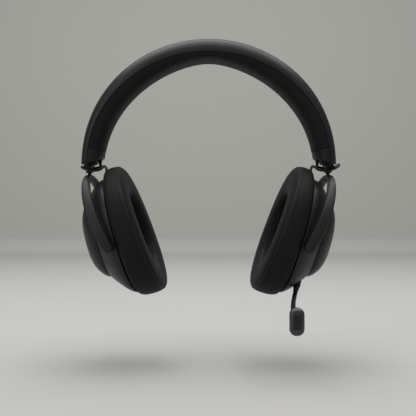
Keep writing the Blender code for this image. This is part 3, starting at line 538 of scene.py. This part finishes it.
# Their routes, in metres outwards, backwards and up, the same as the solids'
LEAD_TOP = (0.09100, 0.00450, -0.08549)
LEAD_LOOPS = {
    "left": [
        (0.09174, 0.00720, -0.08720),
        (0.09830, 0.00940, -0.08820),
        (0.10551, 0.00665, -0.08750),
        (0.10850, 0.00000, -0.08570),
        (0.10551, -0.00665, -0.08810),
        (0.09830, -0.00940, -0.09090),
        (0.09109, -0.00665, -0.09010),
        (0.08825, -0.00163, -0.08770),
    ],
    "right": [
        (0.09098, 0.00720, -0.08720),
        (0.09670, 0.00940, -0.08820),
        (0.10299, 0.00665, -0.08840),
        (0.10560, 0.00000, -0.08750),
        (0.10299, -0.00665, -0.08900),
        (0.09670, -0.00940, -0.09090),
        (0.09041, -0.00665, -0.09010),
        (0.08794, -0.00163, -0.08770),
    ],
}
LEAD_TAIL = [
    (0.08710, 0.00340, -0.08690),
    (0.08670, 0.01050, -0.08830),
    (0.08730, 0.01800, -0.09190),
    (0.08710, 0.02320, -0.09550),
    (0.08508, 0.02610, -0.10119),
]
# Where a lead comes out of the headband's gland and where it goes into the cup's
LEAD_EXIT = (0.09100, 0.00450, -0.08459)
LEAD_ENTRY = (0.08484, 0.02543, -0.10216)
# How far a lead goes up inside the headband's end, where it pays out, and where the slider takes it along
LEAD_SLACK = Vector((0, 0, 0.0060))
LEAD_GRIP = Vector((0, 0, 0.0003))
# Where a lead's loop goes over from the slider to the yoke, outwards, and its tail to the cup, backwards
LOOP_TURN = (0.1030, 0.0890)
TAIL_TURN = (0.0052, 0.0243)
# The least length of one of a lead's three stretches, and the points between two of its route's points
LEAD_STRETCH = 0.0302
LEAD_STEPS = 8


def smooth_path(route, steps):
    """Points along a smooth curve through the route's own points."""
    route = [Vector(point) for point in route]
    padded = [route[0] * 2 - route[1], *route, route[-1] * 2 - route[-2]]
    path = []
    for before, start, end, after in zip(padded, padded[1:], padded[2:], padded[3:]):
        for k in range(steps):
            t = k / steps
            bend = (before * 2 - start * 5 + end * 4 - after) * t**2
            turn = (start * 3 - before - end * 3 + after) * t**3
            path.append((start * 2 + (end - before) * t + bend + turn) / 2)
    path.append(route[-1])
    return path


def path_runs(path):
    """How far along the path each of its points is."""
    runs = [0.0]
    for last, point in zip(path, path[1:]):
        runs.append(runs[-1] + (point - last).length)
    return runs


class HEADSET_OT_leads(bpy.types.Operator):
    """Lays the leads from the headband's ends, once round the sliders and into the cups"""

    bl_idname = "headset.leads"
    bl_label = "Leads"

    def execute(self, context):
        diameter = context.scene.headset_sizes.lead
        for side, out in SIDES.items():
            points = [LEAD_EXIT, LEAD_TOP, *LEAD_LOOPS[side], *LEAD_TAIL, LEAD_ENTRY]
            start, *route, end = [Vector((x * out, y, z)) for x, y, z in points]
            path = [start, *smooth_path(route, LEAD_STEPS), end]
            for name, points, bodies, turn in self.stretches(side, path):
                piece = tubes(side + "_lead_" + name, [points], diameter / 2)
                piece.data.materials.append(FINISHES["cable_jacket"])
                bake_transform(piece)
                if name == "top":
                    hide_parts(side + "_lead")
        return {"FINISHED"}

    def stretches(self, side, path):
        """A lead's three stretches: name, points, the two bodies, and where one hands over to the other."""
        runs = path_runs(path)
        whole = runs[-1]
        third = max(LEAD_STRETCH, whole / 3)
        slider, yoke, cup = side + "_slider", side + "_yoke", side + "_cup"
        level = Vector((0, 0, path[0].z))
        pay_out = (tuple(level + LEAD_SLACK), tuple(level + LEAD_GRIP))
        loop_turn = [(SIDES[side] * x, 0, 0) for x in LOOP_TURN]
        tail_turn = [(0, y, 0) for y in TAIL_TURN]

        def between(first, last):
            begin = max(k for k, run in enumerate(runs) if run <= first + TOLERANCE)
            finish = min(k for k, run in enumerate(runs) if run >= last - TOLERANCE)
            return path[begin : finish + 1]

        top = [path[0] + LEAD_SLACK, *between(0, third)]
        loop = between((whole - third) / 2, (whole + third) / 2)
        return (
            ("top", top, ("headband", slider), pay_out),
            ("loop", loop, (slider, yoke), loop_turn),
            ("tail", between(whole - third, whole), (yoke, cup), tail_turn),
        )


# Stage

# The floor's level, the wall's distance and height, the sheet's size and the radius where it turns up
FLOOR = -0.252
WALL = 1.6
WALL_HEIGHT = 16
SWEEP_SIZE = 40
SWEEP_BEND = 0.05
# How far up the floor's tone goes over into the wall's, and how large a tuft of the paper's fibres is
WALL_TONE_RISE = 0.062
PAPER_FIBRE = 1 / 300
# A soft light's place, what it points at, its size in metres and its power in watts
SOFT_LIGHTS = {
    "overhead": ((0.0, 0.10, 1.15), (0, 0, -0.1), 1.8, 31.0),
    "front_left": ((-1.1, -1.2, 0.5), (0, 0, -0.10), 0.9, 4.0),
}
ROOM_LIGHT = 0.34
# The camera is level with the cups' upper half
CAMERA_PLACE = (-0.000583, -0.650, -0.12175)
CAMERA_LENS = 67.5
CAMERA_SENSOR = 36


class HEADSET_OT_stage(bpy.types.Operator):
    """Sets the floor, the backdrop, the soft lights and the camera"""

    bl_idname = "headset.stage"
    bl_label = "Stage"

    def execute(self, context):
        colours = context.scene.headset_colours
        deselect()
        bpy.ops.mesh.primitive_plane_add(size=SWEEP_SIZE, location=(0, WALL - SWEEP_SIZE / 2, FLOOR))
        sweep = context.object
        sweep.name = "sweep"
        bpy.ops.object.transform_apply(location=True, rotation=True, scale=True)
        pick(sweep, "EDGE", lambda e: all(sweep.data.vertices[k].co.y > WALL / 2 for k in e.vertices))
        bpy.ops.mesh.extrude_region_move(TRANSFORM_OT_translate={"value": (0, 0, WALL_HEIGHT)})
        bpy.ops.object.mode_set(mode="OBJECT")
        bevel(sweep, SWEEP_BEND, 8, SHARP)
        bpy.ops.object.shade_smooth()
        sweep.data.materials.append(self.paper(colours))

        world = context.scene.world or bpy.data.worlds.new("studio")
        context.scene.world = world
        world.use_nodes = True
        world.node_tree.nodes.clear()
        glow = add_node(
            world.node_tree,
            "ShaderNodeBackground",
            values={"Color": (1, 1, 1, 1), "Strength": ROOM_LIGHT},
        )
        add_node(world.node_tree, "ShaderNodeOutputWorld", links={"Surface": (glow, "Background")})

        for name, setting in SOFT_LIGHTS.items():
            self.softbox(context, name, *setting)

        lens = bpy.data.cameras.new("camera")
        lens.lens = CAMERA_LENS
        lens.sensor_width = CAMERA_SENSOR
        lens.clip_start = 0.01
        camera = bpy.data.objects.new("camera", lens)
        camera.location = CAMERA_PLACE
        camera.rotation_euler = (math.radians(90), 0, 0)
        context.scene.collection.objects.link(camera)
        context.scene.camera = camera
        context.scene.view_settings.view_transform = "Standard"
        return {"FINISHED"}

    def softbox(self, context, name, place, target, size, power):
        light = bpy.data.lights.new(name, "AREA")
        light.shape = "SQUARE"
        light.size = size
        light.energy = power
        lamp = bpy.data.objects.new(name, light)
        lamp.location = place
        aim = Vector(target) - Vector(place)
        lamp.rotation_euler = aim.to_track_quat("-Z", "Y").to_euler()
        context.scene.collection.objects.link(lamp)

    def paper(self, colours):
        """Uncoated paper: flat and dull, and a shade yellower where it rises behind."""
        material, tree = blank_material("uncoated_paper")
        place = add_node(tree, "ShaderNodeTexCoord")
        axes = add_node(tree, "ShaderNodeSeparateXYZ", links={"Vector": (place, "Object")})
        rise = spread(tree, (axes, "Z"), (FLOOR, FLOOR + WALL_TONE_RISE))
        fibres = noise(tree, (place, "Object"), {"Scale": 1 / PAPER_FIBRE, "Detail": 4.0})
        tones = (rgba(colours.floor), rgba(colours.wall))
        fibre_bump = ((fibres, "Fac"), 0.05, 0.0002)
        values = {"Roughness": 0.9, "Specular IOR Level": 0.2}
        surface(tree, tones, (rise, "Result"), None, fibre_bump, values)
        return material


# Headband

# A dust seal lies behind the groove between the cover and the pad, from under the frame to the band's end
SEAL_ROUTE = (
    (0.0913, -0.0500),
    (0.0938, -0.0560),
    (0.0964, -0.0640),
    (0.0978, -0.0700),
    (0.0986, -0.0745),
    (0.0991, -0.0800),
    (0.0993, -0.0844),
)
SEAL_ACROSS = 0.0130
SEAL_RADIUS = 0.0007
SEAL_STEPS = 6
# A tongue on each end cap goes up into the pad's end, set in from the cap's edge
TONGUE_INSET = 0.0010
TONGUE_RISE = 0.0012
TONGUE_DRAFT = 0.0001


class HEADSET_OT_headband(bpy.types.Operator):
    """Refines the headband's cover and end caps, and lays the dust seals"""

    bl_idname = "headset.headband"
    bl_label = "Headband"

    def execute(self, context):
        edge = context.scene.headset_sizes.edge
        refine("headband_cover", "band_cover", "satin_plastic", "headband", edge, curved=True)
        for side, out in SIDES.items():
            cap = merged_copy(side + "_end_cap", side + "_band_end")
            emboss(cap, lambda p: p.normal.z > 0.8, TONGUE_INSET, TONGUE_DRAFT, TONGUE_RISE)
            round_edges(cap, edge)
            dress(cap, "matte_plastic", "headband", side + "_end_cap")
            for name, across in (("front", -SEAL_ACROSS), ("rear", SEAL_ACROSS)):
                route = [(x * out, across, z) for x, z in SEAL_ROUTE]
                path = smooth_path(route, SEAL_STEPS)
                seal = tubes(side + "_" + name + "_seal", [path], SEAL_RADIUS)
                dress(seal, "cable_jacket", "headband")
        return {"FINISHED"}


# Pads

# A pad's skin as cloth: how finely it is solved, its weight, and what it does against a stretch or a bend
PAD_SKIN = {
    "quality": 6,
    "mass": 0.2,
    "tension_stiffness": 12,
    "compression_stiffness": 12,
    "shear_stiffness": 6,
    "bending_stiffness": 0.4,
    "use_pressure": True,
}
PAD_FRAMES = 20
# The points that a ring round a pad has at least, and how much of the thread's radius sinks into the skin
SMALLEST_RING = 20
THREAD_SINK = 0.15
# Where a stitch starts, has its middle and ends, as a share of the pitch
STITCH_SHARES = (0.14, 0.5, 0.86)


def inflate(obj, held, pressure, most):
    """Fills a pad's skin with foam by cloth simulation, holding some points and capping every move."""
    rest = [vertex.co.copy() for vertex in obj.data.vertices]
    activate(obj)
    group = obj.vertex_groups.new(name="held")
    group.add(held, 1.0, "REPLACE")
    modifier = obj.modifiers.new("Foam", "CLOTH")
    cloth = modifier.settings
    for key, value in PAD_SKIN.items():
        setattr(cloth, key, value)
    cloth.uniform_pressure_force = pressure
    cloth.vertex_group_mass = group.name
    cloth.effector_weights.gravity = 0
    modifier.point_cache.frame_start = 1
    modifier.point_cache.frame_end = PAD_FRAMES
    for step in range(1, PAD_FRAMES + 1):
        bpy.context.scene.frame_set(step)
    bpy.ops.object.modifier_apply(modifier=modifier.name)
    bpy.context.scene.frame_set(1)
    obj.vertex_groups.clear()
    for vertex, start in zip(obj.data.vertices, rest):
        move = vertex.co - start
        if move.length > most:
            vertex.co = start + move.normalized() * most


def joint_of(name):
    """A joint's place, where it has one, and its direction."""
    joint = next(joint for joint in frame["joints"] if joint["name"] == name)
    return Vector(joint.get("pos_m", (0, 0, 0))), Vector(joint["axis"]).normalized()


def cup_axis(side):
    """The way that a cup faces, outwards from the head."""
    axis = joint_of("volume_turn")[1]
    return axis if side == "left" else Vector((-axis.x, axis.y, axis.z))


def cut(obj, point, normal):
    """Cuts a ring of edges round a mesh where a plane meets it."""
    activate(obj)
    bpy.ops.object.mode_set(mode="EDIT")
    bpy.ops.mesh.select_all(action="SELECT")
    bpy.ops.mesh.bisect(plane_co=tuple(point), plane_no=tuple(normal), threshold=TOLERANCE / 10)
    bpy.ops.object.mode_set(mode="OBJECT")


def rings_on(obj, point, normal):
    """The closed rings of points that lie on a plane, each in order."""
    mesh = obj.data
    on_plane = {v.index for v in mesh.vertices if abs((v.co - point).dot(normal)) < 0.4 * TOLERANCE}
    beside = {}
    for edge in mesh.edges:
        first, last = edge.vertices
        if first in on_plane and last in on_plane:
            beside.setdefault(first, []).append(last)
            beside.setdefault(last, []).append(first)
    rings = []
    waiting = set(beside)
    while waiting:
        ring = [min(waiting)]
        waiting.discard(ring[0])
        while True:
            ahead = [k for k in beside[ring[-1]] if k in waiting]
            if not ahead:
                break
            ring.append(ahead[0])
            waiting.discard(ahead[0])
        rings.append(ring)
    return [ring for ring in rings if len(ring) > SMALLEST_RING]


def sew(obj, point, normal, width, depth):
    """Pulls the skin in along a seam where a plane meets it."""
    for shift in (-width, 0, width):
        cut(obj, point + normal * shift, normal)
    mesh = obj.data
    for ring in rings_on(obj, point, normal):
        moves = [(k, mesh.vertices[k].normal.copy()) for k in ring]
        for k, out in moves:
            mesh.vertices[k].co -= out * depth


def stitches(obj, point, normal, name, pitch, radius, least):
    """A row of stitches on each ring where a plane meets a pad, if the ring is wide enough, as one mesh."""
    cut(obj, point, normal)
    vertices = obj.data.vertices
    paths = []
    for ring in rings_on(obj, point, normal):
        centre = sum((vertices[k].co for k in ring), Vector()) / len(ring)
        if sum((vertices[k].co - centre).length for k in ring) / len(ring) < least:
            continue
        points = [vertices[k].co - vertices[k].normal * radius * THREAD_SINK for k in ring]
        if (points[0] - points[-1]).length < 2 * pitch:
            points.append(points[0])
        runs = path_runs(points)
        count = int(runs[-1] / pitch)
        for k in range(count):
            paths.append([along(points, runs, (k + share) * runs[-1] / count) for share in STITCH_SHARES])
    return tubes(name, paths, radius, sides=1, angle=180)


def along(points, runs, distance):
    """The point this far along a path."""
    for k in range(1, len(points)):
        if runs[k] >= distance:
            share = (distance - runs[k - 1]) / max(runs[k] - runs[k - 1], 1e-9)
            return points[k - 1].lerp(points[k], share)
    return points[-1]


# The headband's pad is held at its rims, its ends and all that doesn't face the head
BAND_PAD_SHARP = 50
BAND_PAD_RIM = 0.0175
BAND_PAD_END = 0.004
BAND_PAD_FACING = -0.2
BAND_PAD_PRESSURE = 3.0
BAND_PAD_SWELL = 0.6


class HEADSET_OT_headband_pad(bpy.types.Operator):
    """Fills the headband's pad"""

    bl_idname = "headset.headband_pad"
    bl_label = "Headband pad"

    def execute(self, context):
        pad = merged_copy("headband_pad", "band_pad")
        smooth_curves(pad, BAND_PAD_SHARP)
        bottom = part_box("headband_pad")[0][2]
        held = []
        for vertex in pad.data.vertices:
            place = vertex.co
            outward = Vector((place.x, 0, place.z - bottom)).normalized()
            at_rim = abs(place.y) > BAND_PAD_RIM or place.z < bottom + BAND_PAD_END
            if at_rim or vertex.normal.dot(outward) > BAND_PAD_FACING:
                held.append(vertex.index)
        inflate(pad, held, BAND_PAD_PRESSURE, BAND_PAD_SWELL * context.scene.headset_sizes.swell)
        subdivide(pad)
        bpy.ops.object.shade_smooth_by_angle(angle=math.radians(BAND_PAD_SHARP))
        dress(pad, "leatherette", "headband", "headband_pad")
        return {"FINISHED"}


# An ear pad is held at its back, and has a seam below its face and a hem before its back
EAR_PAD_HELD = 0.0012
EAR_PAD_PRESSURE = 4.0
SEAM_PLACE = 0.0052
SEAM_WIDTH = 0.0007
SEAM_DEPTH = 0.0005
HEM_PLACE = 0.0026
HEM_WIDTH = 0.0006
HEM_DEPTH = 0.0006
# The stitches are this far above the seam, on the pad's outer ring and not on its hollow's
STITCH_PLACE = 0.0021
STITCHED_RING = 0.035


class HEADSET_OT_ear_pads(bpy.types.Operator):
    """Fills the ear pads and sews their seams"""

    bl_idname = "headset.ear_pads"
    bl_label = "Ear pads"

    def execute(self, context):
        sizes = context.scene.headset_sizes
        for side in SIDES:
            axis = cup_axis(side)
            pad = merged_copy(side + "_ear_pad", side + "_ear_cushion")
            subdivide(pad)
            heights = [vertex.co.dot(axis) for vertex in pad.data.vertices]
            back = max(heights)
            held = [k for k, height in enumerate(heights) if height > back - EAR_PAD_HELD]
            inflate(pad, held, EAR_PAD_PRESSURE, sizes.swell)
            subdivide(pad)
            mount = next(m for m in frame["record"]["mounts"] if m["name"] == side + "_ear_pad_face")
            face = Vector(mount["axis"]).normalized()
            level = max(vertex.co.dot(face) for vertex in pad.data.vertices)
            seam = face * (level - SEAM_PLACE)
            sew(pad, seam, face, SEAM_WIDTH, SEAM_DEPTH)
            sew(pad, axis * (back - HEM_PLACE), axis, HEM_WIDTH, HEM_DEPTH)
            row = stitches(
                pad,
                seam + face * STITCH_PLACE,
                face,
                side + "_pad_stitches",
                sizes.stitch,
                sizes.thread,
                STITCHED_RING,
            )
            dress(row, "thread", side + "_cup", slot="leatherette")
            activate(pad)
            bpy.ops.object.shade_smooth()
            dress(pad, "leatherette", side + "_cup", side + "_ear_pad")
        return {"FINISHED"}


# How far a scrim's middle lies deeper than its edge
SCRIM_DIP = 0.0006


class HEADSET_OT_scrims(bpy.types.Operator):
    """Stretches the cloth over the drivers"""

    bl_idname = "headset.scrims"
    bl_label = "Scrims"

    def execute(self, context):
        for side in SIDES:
            axis = cup_axis(side)
            scrim = merged_copy(side + "_scrim", side + "_driver_cloth")
            bpy.ops.object.mode_set(mode="EDIT")
            bpy.ops.mesh.select_all(action="SELECT")
            bpy.ops.mesh.poke()
            bpy.ops.mesh.subdivide(number_cuts=3)
            bpy.ops.object.mode_set(mode="OBJECT")
            centre = sum((v.co for v in scrim.data.vertices), Vector()) / len(scrim.data.vertices)
            reach = max((v.co - centre).length for v in scrim.data.vertices)
            for vertex in scrim.data.vertices:
                share = min(1.0, (vertex.co - centre).length / reach)
                vertex.co += axis * SCRIM_DIP * (1 - share * share)
            bpy.ops.object.shade_smooth_by_angle(angle=math.radians(40))
            dress(scrim, "cloth", side + "_cup", side + "_scrim")
        return {"FINISHED"}


# Carriers and cups


class HEADSET_OT_carriers(bpy.types.Operator):
    """Refines the sliders and the yokes that carry the cups"""

    bl_idname = "headset.carriers"
    bl_label = "Sliders and yokes"

    def execute(self, context):
        edge = context.scene.headset_sizes.edge
        for side in SIDES:
            slider, yoke = side + "_slider", side + "_yoke"
            refine(slider, side + "_blade", "satin_plastic", slider, edge)
            refine(yoke, side + "_fork", "satin_plastic", yoke, edge, curved=True)
        return {"FINISHED"}


# A vent's length, width and depth, how far its lip stands out, and about where it is on the left cup
VENT_SIZE = (0.0046, 0.0022, 0.0016)
VENT_LIP = 0.00012
VENT_PLACE = (0.0636, -0.0275, -0.1843)
# The rounding of its corners, the width of its rim, how deep it is sunk and how its sides draw in
VENT_CORNER = 0.001012
VENT_RIM = 0.0003
VENT_SINK = -0.0009
VENT_DRAFT = 0.00008
VENT_EDGE = 0.0001


class HEADSET_OT_cups(bpy.types.Operator):
    """Refines the cups' housings and outer caps, and adds their vents"""

    bl_idname = "headset.cups"
    bl_label = "Cups"

    def execute(self, context):
        edge = context.scene.headset_sizes.edge
        for side, out in SIDES.items():
            cup = side + "_cup"
            shell = refine(side + "_housing", side + "_cup_shell", "satin_plastic", cup, edge)
            self.vent(side, out, shell)
            refine(side + "_outer_cap", side + "_cup_face", "satin_plastic", cup, edge)
        return {"FINISHED"}

    def vent(self, side, out, shell):
        """A slot with a raised lip under the housing, next to the pad."""
        x, y, z = VENT_PLACE
        _, place, up, _ = shell.closest_point_on_mesh(Vector((x * out, y, z)))
        slot = rounded_block(side + "_vent", VENT_SIZE, (0, 0, 0), 2, VENT_CORNER, 6)
        emboss(slot, lambda p: p.normal.z > 0.99, VENT_RIM, VENT_DRAFT, VENT_SINK)
        length = up.cross(cup_axis(side)).normalized()
        turn = Matrix((length, up.cross(length), up)).transposed().to_4x4()
        slot.matrix_world = Matrix.Translation(place - up * (VENT_SIZE[2] / 2 - VENT_LIP)) @ turn
        bpy.ops.object.transform_apply(location=True, rotation=True, scale=True)
        round_edges(slot, VENT_EDGE)
        dress(slot, "matte_plastic", side + "_cup")


# Microphone

# The boom's radius, where it goes into the capsule, from the top of its back, and how it gets there
BOOM_RADIUS = 0.00185
BOOM_ENTRY = Vector((-0.0021, 0.0004, -0.0022))
BOOM_LEAVING = 0.0085
BOOM_ARRIVING = Vector((0.0014, 0.0150, 0.0040))
BOOM_SINK = Vector((0, 0.0022, 0))
BOOM_STEPS = 24
# How far the ends of the capsule's front curve back from its middle
CAPSULE_CROWN = 0.0021
# The rounding of its outline, as a share of its width, the rounding of its edges and the rim of its front
CAPSULE_CORNER = 0.46
CAPSULE_EDGE = 0.0026
CAPSULE_RIM = 0.0004
CAPSULE_SLICES = 16
# The grille's openings across and down, its wires' half width, its thickness and how deep it lies
GRILLE_OPENINGS = (8, 15)
GRILLE_WIRE = 0.00016
GRILLE_THICKNESS = 0.0005
GRILLE_DEPTH = 0.0002
PLUG_EDGE = 0.0003


def crown(obj, low, high):
    """Curves a flat front back towards its upper and lower ends."""
    middle = (low + high) / 2
    for vertex in obj.data.vertices:
        share = (vertex.co.z - middle.z) / (high.z - middle.z)
        depth = max(0.0, (middle.y - vertex.co.y) / (middle.y - low.y))
        vertex.co.y += CAPSULE_CROWN * share * share * min(1.0, depth)


class HEADSET_OT_microphone(bpy.types.Operator):
    """Models the capsule with its grille, and refines the boom, its plug and its socket"""

    bl_idname = "headset.microphone"
    bl_label = "Microphone"

    def execute(self, context):
        low, high = (Vector(corner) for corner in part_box("mic_body"))
        self.capsule(low, high)
        self.grille(context, low, high)
        boom = tubes("boom", [self.boom_path(low, high)], BOOM_RADIUS, 4)
        dress(boom, "cable_jacket", "microphone", "mic_boom")
        refine("mic_plug", "boom_plug", "matte_plastic", "microphone", PLUG_EDGE)
        refine("mic_socket", "boom_socket", "matte_plastic", "left_cup", PLUG_EDGE)
        return {"FINISHED"}

    def capsule(self, low, high):
        """A rounded block with a rim round its front, crowned along its height."""
        size = high - low
        capsule = rounded_block("capsule", size, (low + high) / 2, 1, CAPSULE_CORNER * size.x, 12)
        bevel(capsule, CAPSULE_EDGE, 6, 60)
        pick(capsule, "FACE", lambda p: p.normal.y < -0.999)
        bpy.ops.mesh.inset(thickness=CAPSULE_RIM)
        bpy.ops.object.mode_set(mode="OBJECT")
        for k in range(1, CAPSULE_SLICES):
            level = low.z + size.z * k / CAPSULE_SLICES
            cut(capsule, Vector((0, 0, level)), Vector((0, 0, 1)))
        crown(capsule, low, high)
        activate(capsule)
        bpy.ops.object.shade_smooth_by_angle(angle=math.radians(40))
        dress(capsule, "semi_gloss_plastic", "microphone", "mic_body", slot="matte_plastic")

    def grille(self, context, low, high):
        """A net of flat wires over the window in the capsule's front."""
        first, last = (Vector(corner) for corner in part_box("mic_grille"))
        window = last - first
        centre = (first + last) / 2
        deselect()
        bpy.ops.mesh.primitive_grid_add(
            x_subdivisions=GRILLE_OPENINGS[0],
            y_subdivisions=GRILLE_OPENINGS[1],
            size=1,
            location=(centre.x, low.y + GRILLE_DEPTH, centre.z),
            rotation=(math.radians(90), 0, 0),
        )
        grille = context.object
        grille.name = "capsule_grille"
        grille.scale = (window.x, window.z, 1)
        bpy.ops.object.transform_apply(location=True, rotation=True, scale=True)
        bpy.ops.object.mode_set(mode="EDIT")
        bpy.ops.mesh.select_all(action="SELECT")
        bpy.ops.mesh.inset(thickness=GRILLE_WIRE, use_individual=True)
        bpy.ops.mesh.delete(type="FACE")
        bpy.ops.object.mode_set(mode="OBJECT")
        apply_modifier(grille, "SOLIDIFY", thickness=GRILLE_THICKNESS, offset=0)
        crown(grille, low, high)
        dress(grille, "matte_plastic", "microphone", "mic_grille")

    def boom_path(self, low, high):
        """From the end of the plug's collar, forwards and into the top of the capsule's back."""
        away = joint_of("microphone_pull")[1]
        points = [v.co for v in frame["nodes"]["mic_plug"].data.vertices]
        reach = max(point.dot(away) for point in points)
        rim = [point for point in points if point.dot(away) > reach - 2 * TOLERANCE]
        start = sum(rim, Vector()) / len(rim)
        entry = Vector(((low.x + high.x) / 2, high.y, high.z)) + BOOM_ENTRY
        leave = start + away * BOOM_LEAVING
        arrive = entry + BOOM_ARRIVING
        path = []
        for k in range(BOOM_STEPS + 1):
            t = k / BOOM_STEPS
            s = 1 - t
            path.append(start * s**3 + leave * (3 * s * s * t) + arrive * (3 * s * t * t) + entry * t**3)
        path.append(entry - BOOM_SINK)
        return path


# Controls and plain solids

# A button's flat rim, the slope inside it, and how far its middle stands out
BUTTON_RIM = 0.0008
BUTTON_SLOPE = 0.0003
BUTTON_MIDDLES = {"power": -0.0002, "mute": 0.0002}
BUTTON_EDGE = 0.0002
PORT_EDGE = 0.00012
# The wheel's knurls, their ridges' half width and depth, and the rim, slope and depth of its faces
WHEEL_KNURLS = 44
KNURL_RIDGE = 0.00018
KNURL_DEPTH = -0.00035
WHEEL_RIM = 0.0012
WHEEL_SLOPE = 0.0003
WHEEL_DISH = -0.0004
WHEEL_EDGE = 0.0001


class HEADSET_OT_controls(bpy.types.Operator):
    """Models the knurled wheel and refines the buttons and the port"""

    bl_idname = "headset.controls"
    bl_label = "Controls"

    def execute(self, context):
        self.wheel(context)
        for name, middle in BUTTON_MIDDLES.items():
            press = joint_of(name + "_press")[1]
            button = merged_copy(name + "_button", name + "_key")
            emboss(button, lambda p: p.normal.dot(press) < -0.99, BUTTON_RIM, BUTTON_SLOPE, middle)
            round_edges(button, BUTTON_EDGE)
            dress(button, "matte_plastic", name + "_button", name + "_button")
        refine("charging_port", "port_shell", "steel", "left_cup", PORT_EDGE)
        return {"FINISHED"}

    def wheel(self, context):
        """A knurled wheel with dished faces, on the solid wheel's axis."""
        place, axis = joint_of("volume_turn")
        points = [v.co - place for v in frame["nodes"]["volume_wheel"].data.vertices]
        heights = [point.dot(axis) for point in points]
        low, high = min(heights), max(heights)
        reach = max((point - axis * point.dot(axis)).length for point in points)
        deselect()
        bpy.ops.mesh.primitive_cylinder_add(vertices=WHEEL_KNURLS, radius=reach, depth=high - low)
        wheel = context.object
        wheel.name = "volume_dial"
        turn = axis.to_track_quat("Z", "Y").to_matrix().to_4x4()
        wheel.matrix_world = Matrix.Translation(place + axis * (low + high) / 2) @ turn
        bpy.ops.object.transform_apply(location=True, rotation=True, scale=True)
        pick(wheel, "FACE", lambda p: abs(p.normal.dot(axis)) < 0.1)
        bpy.ops.mesh.inset(thickness=KNURL_RIDGE, depth=KNURL_DEPTH, use_individual=True)
        bpy.ops.object.mode_set(mode="OBJECT")
        emboss(
            wheel, lambda p: abs(p.normal.dot(axis)) > 0.9, WHEEL_RIM, WHEEL_SLOPE, WHEEL_DISH, each=True
        )
        round_edges(wheel, WHEEL_EDGE)
        dress(wheel, "matte_plastic", "volume_wheel", "volume_wheel")


class HEADSET_OT_solids(bpy.types.Operator):
    """Gives the solids that stay as they are their finishes"""

    bl_idname = "headset.solids"
    bl_label = "Plain solids"

    def execute(self, context):
        finishes = {part["node"]: part["material_slot"] for part in frame["record"]["subparts"]}
        for name, obj in frame["nodes"].items():
            blackened = name.endswith(("_swivel_clip", "_pivot_pin"))
            finish = "blackened_steel" if blackened else finishes[name]
            for slot in obj.material_slots:
                slot.material = FINISHES[finish]
        return {"FINISHED"}


class HEADSET_PT_panel(bpy.types.Panel):
    """Lists the headset's pieces and settings"""

    bl_idname = "HEADSET_PT_panel"
    bl_label = "Headset"
    bl_space_type = "VIEW_3D"
    bl_region_type = "UI"
    bl_category = "Headset"

    def draw(self, context):
        for operator in OPERATORS:
            self.layout.operator(operator.bl_idname)
        for settings in (context.scene.headset_colours, context.scene.headset_sizes):
            for key in settings.__annotations__:
                self.layout.prop(settings, key)


OPERATORS = (
    HEADSET_OT_stage,
    HEADSET_OT_leads,
    HEADSET_OT_solids,
    HEADSET_OT_headband,
    HEADSET_OT_headband_pad,
    HEADSET_OT_carriers,
    HEADSET_OT_cups,
    HEADSET_OT_ear_pads,
    HEADSET_OT_scrims,
    HEADSET_OT_microphone,
    HEADSET_OT_controls,
)
CLASSES = (HeadsetColours, HeadsetSizes, *OPERATORS, HEADSET_PT_panel)


def register():
    for cls in CLASSES:
        bpy.utils.register_class(cls)
    bpy.types.Scene.headset_colours = bpy.props.PointerProperty(type=HeadsetColours)
    bpy.types.Scene.headset_sizes = bpy.props.PointerProperty(type=HeadsetSizes)


def unregister():
    del bpy.types.Scene.headset_sizes
    del bpy.types.Scene.headset_colours
    for cls in reversed(CLASSES):
        bpy.utils.unregister_class(cls)


def main():
    register()
    make_finishes()
    bpy.ops.headset.stage()
    bpy.ops.headset.leads()
    bpy.ops.headset.solids()
    bpy.ops.headset.headband()
    bpy.ops.headset.headband_pad()
    bpy.ops.headset.carriers()
    bpy.ops.headset.cups()
    bpy.ops.headset.ear_pads()
    bpy.ops.headset.scrims()
    bpy.ops.headset.microphone()
    bpy.ops.headset.controls()


if __name__ == "__main__":
    main()
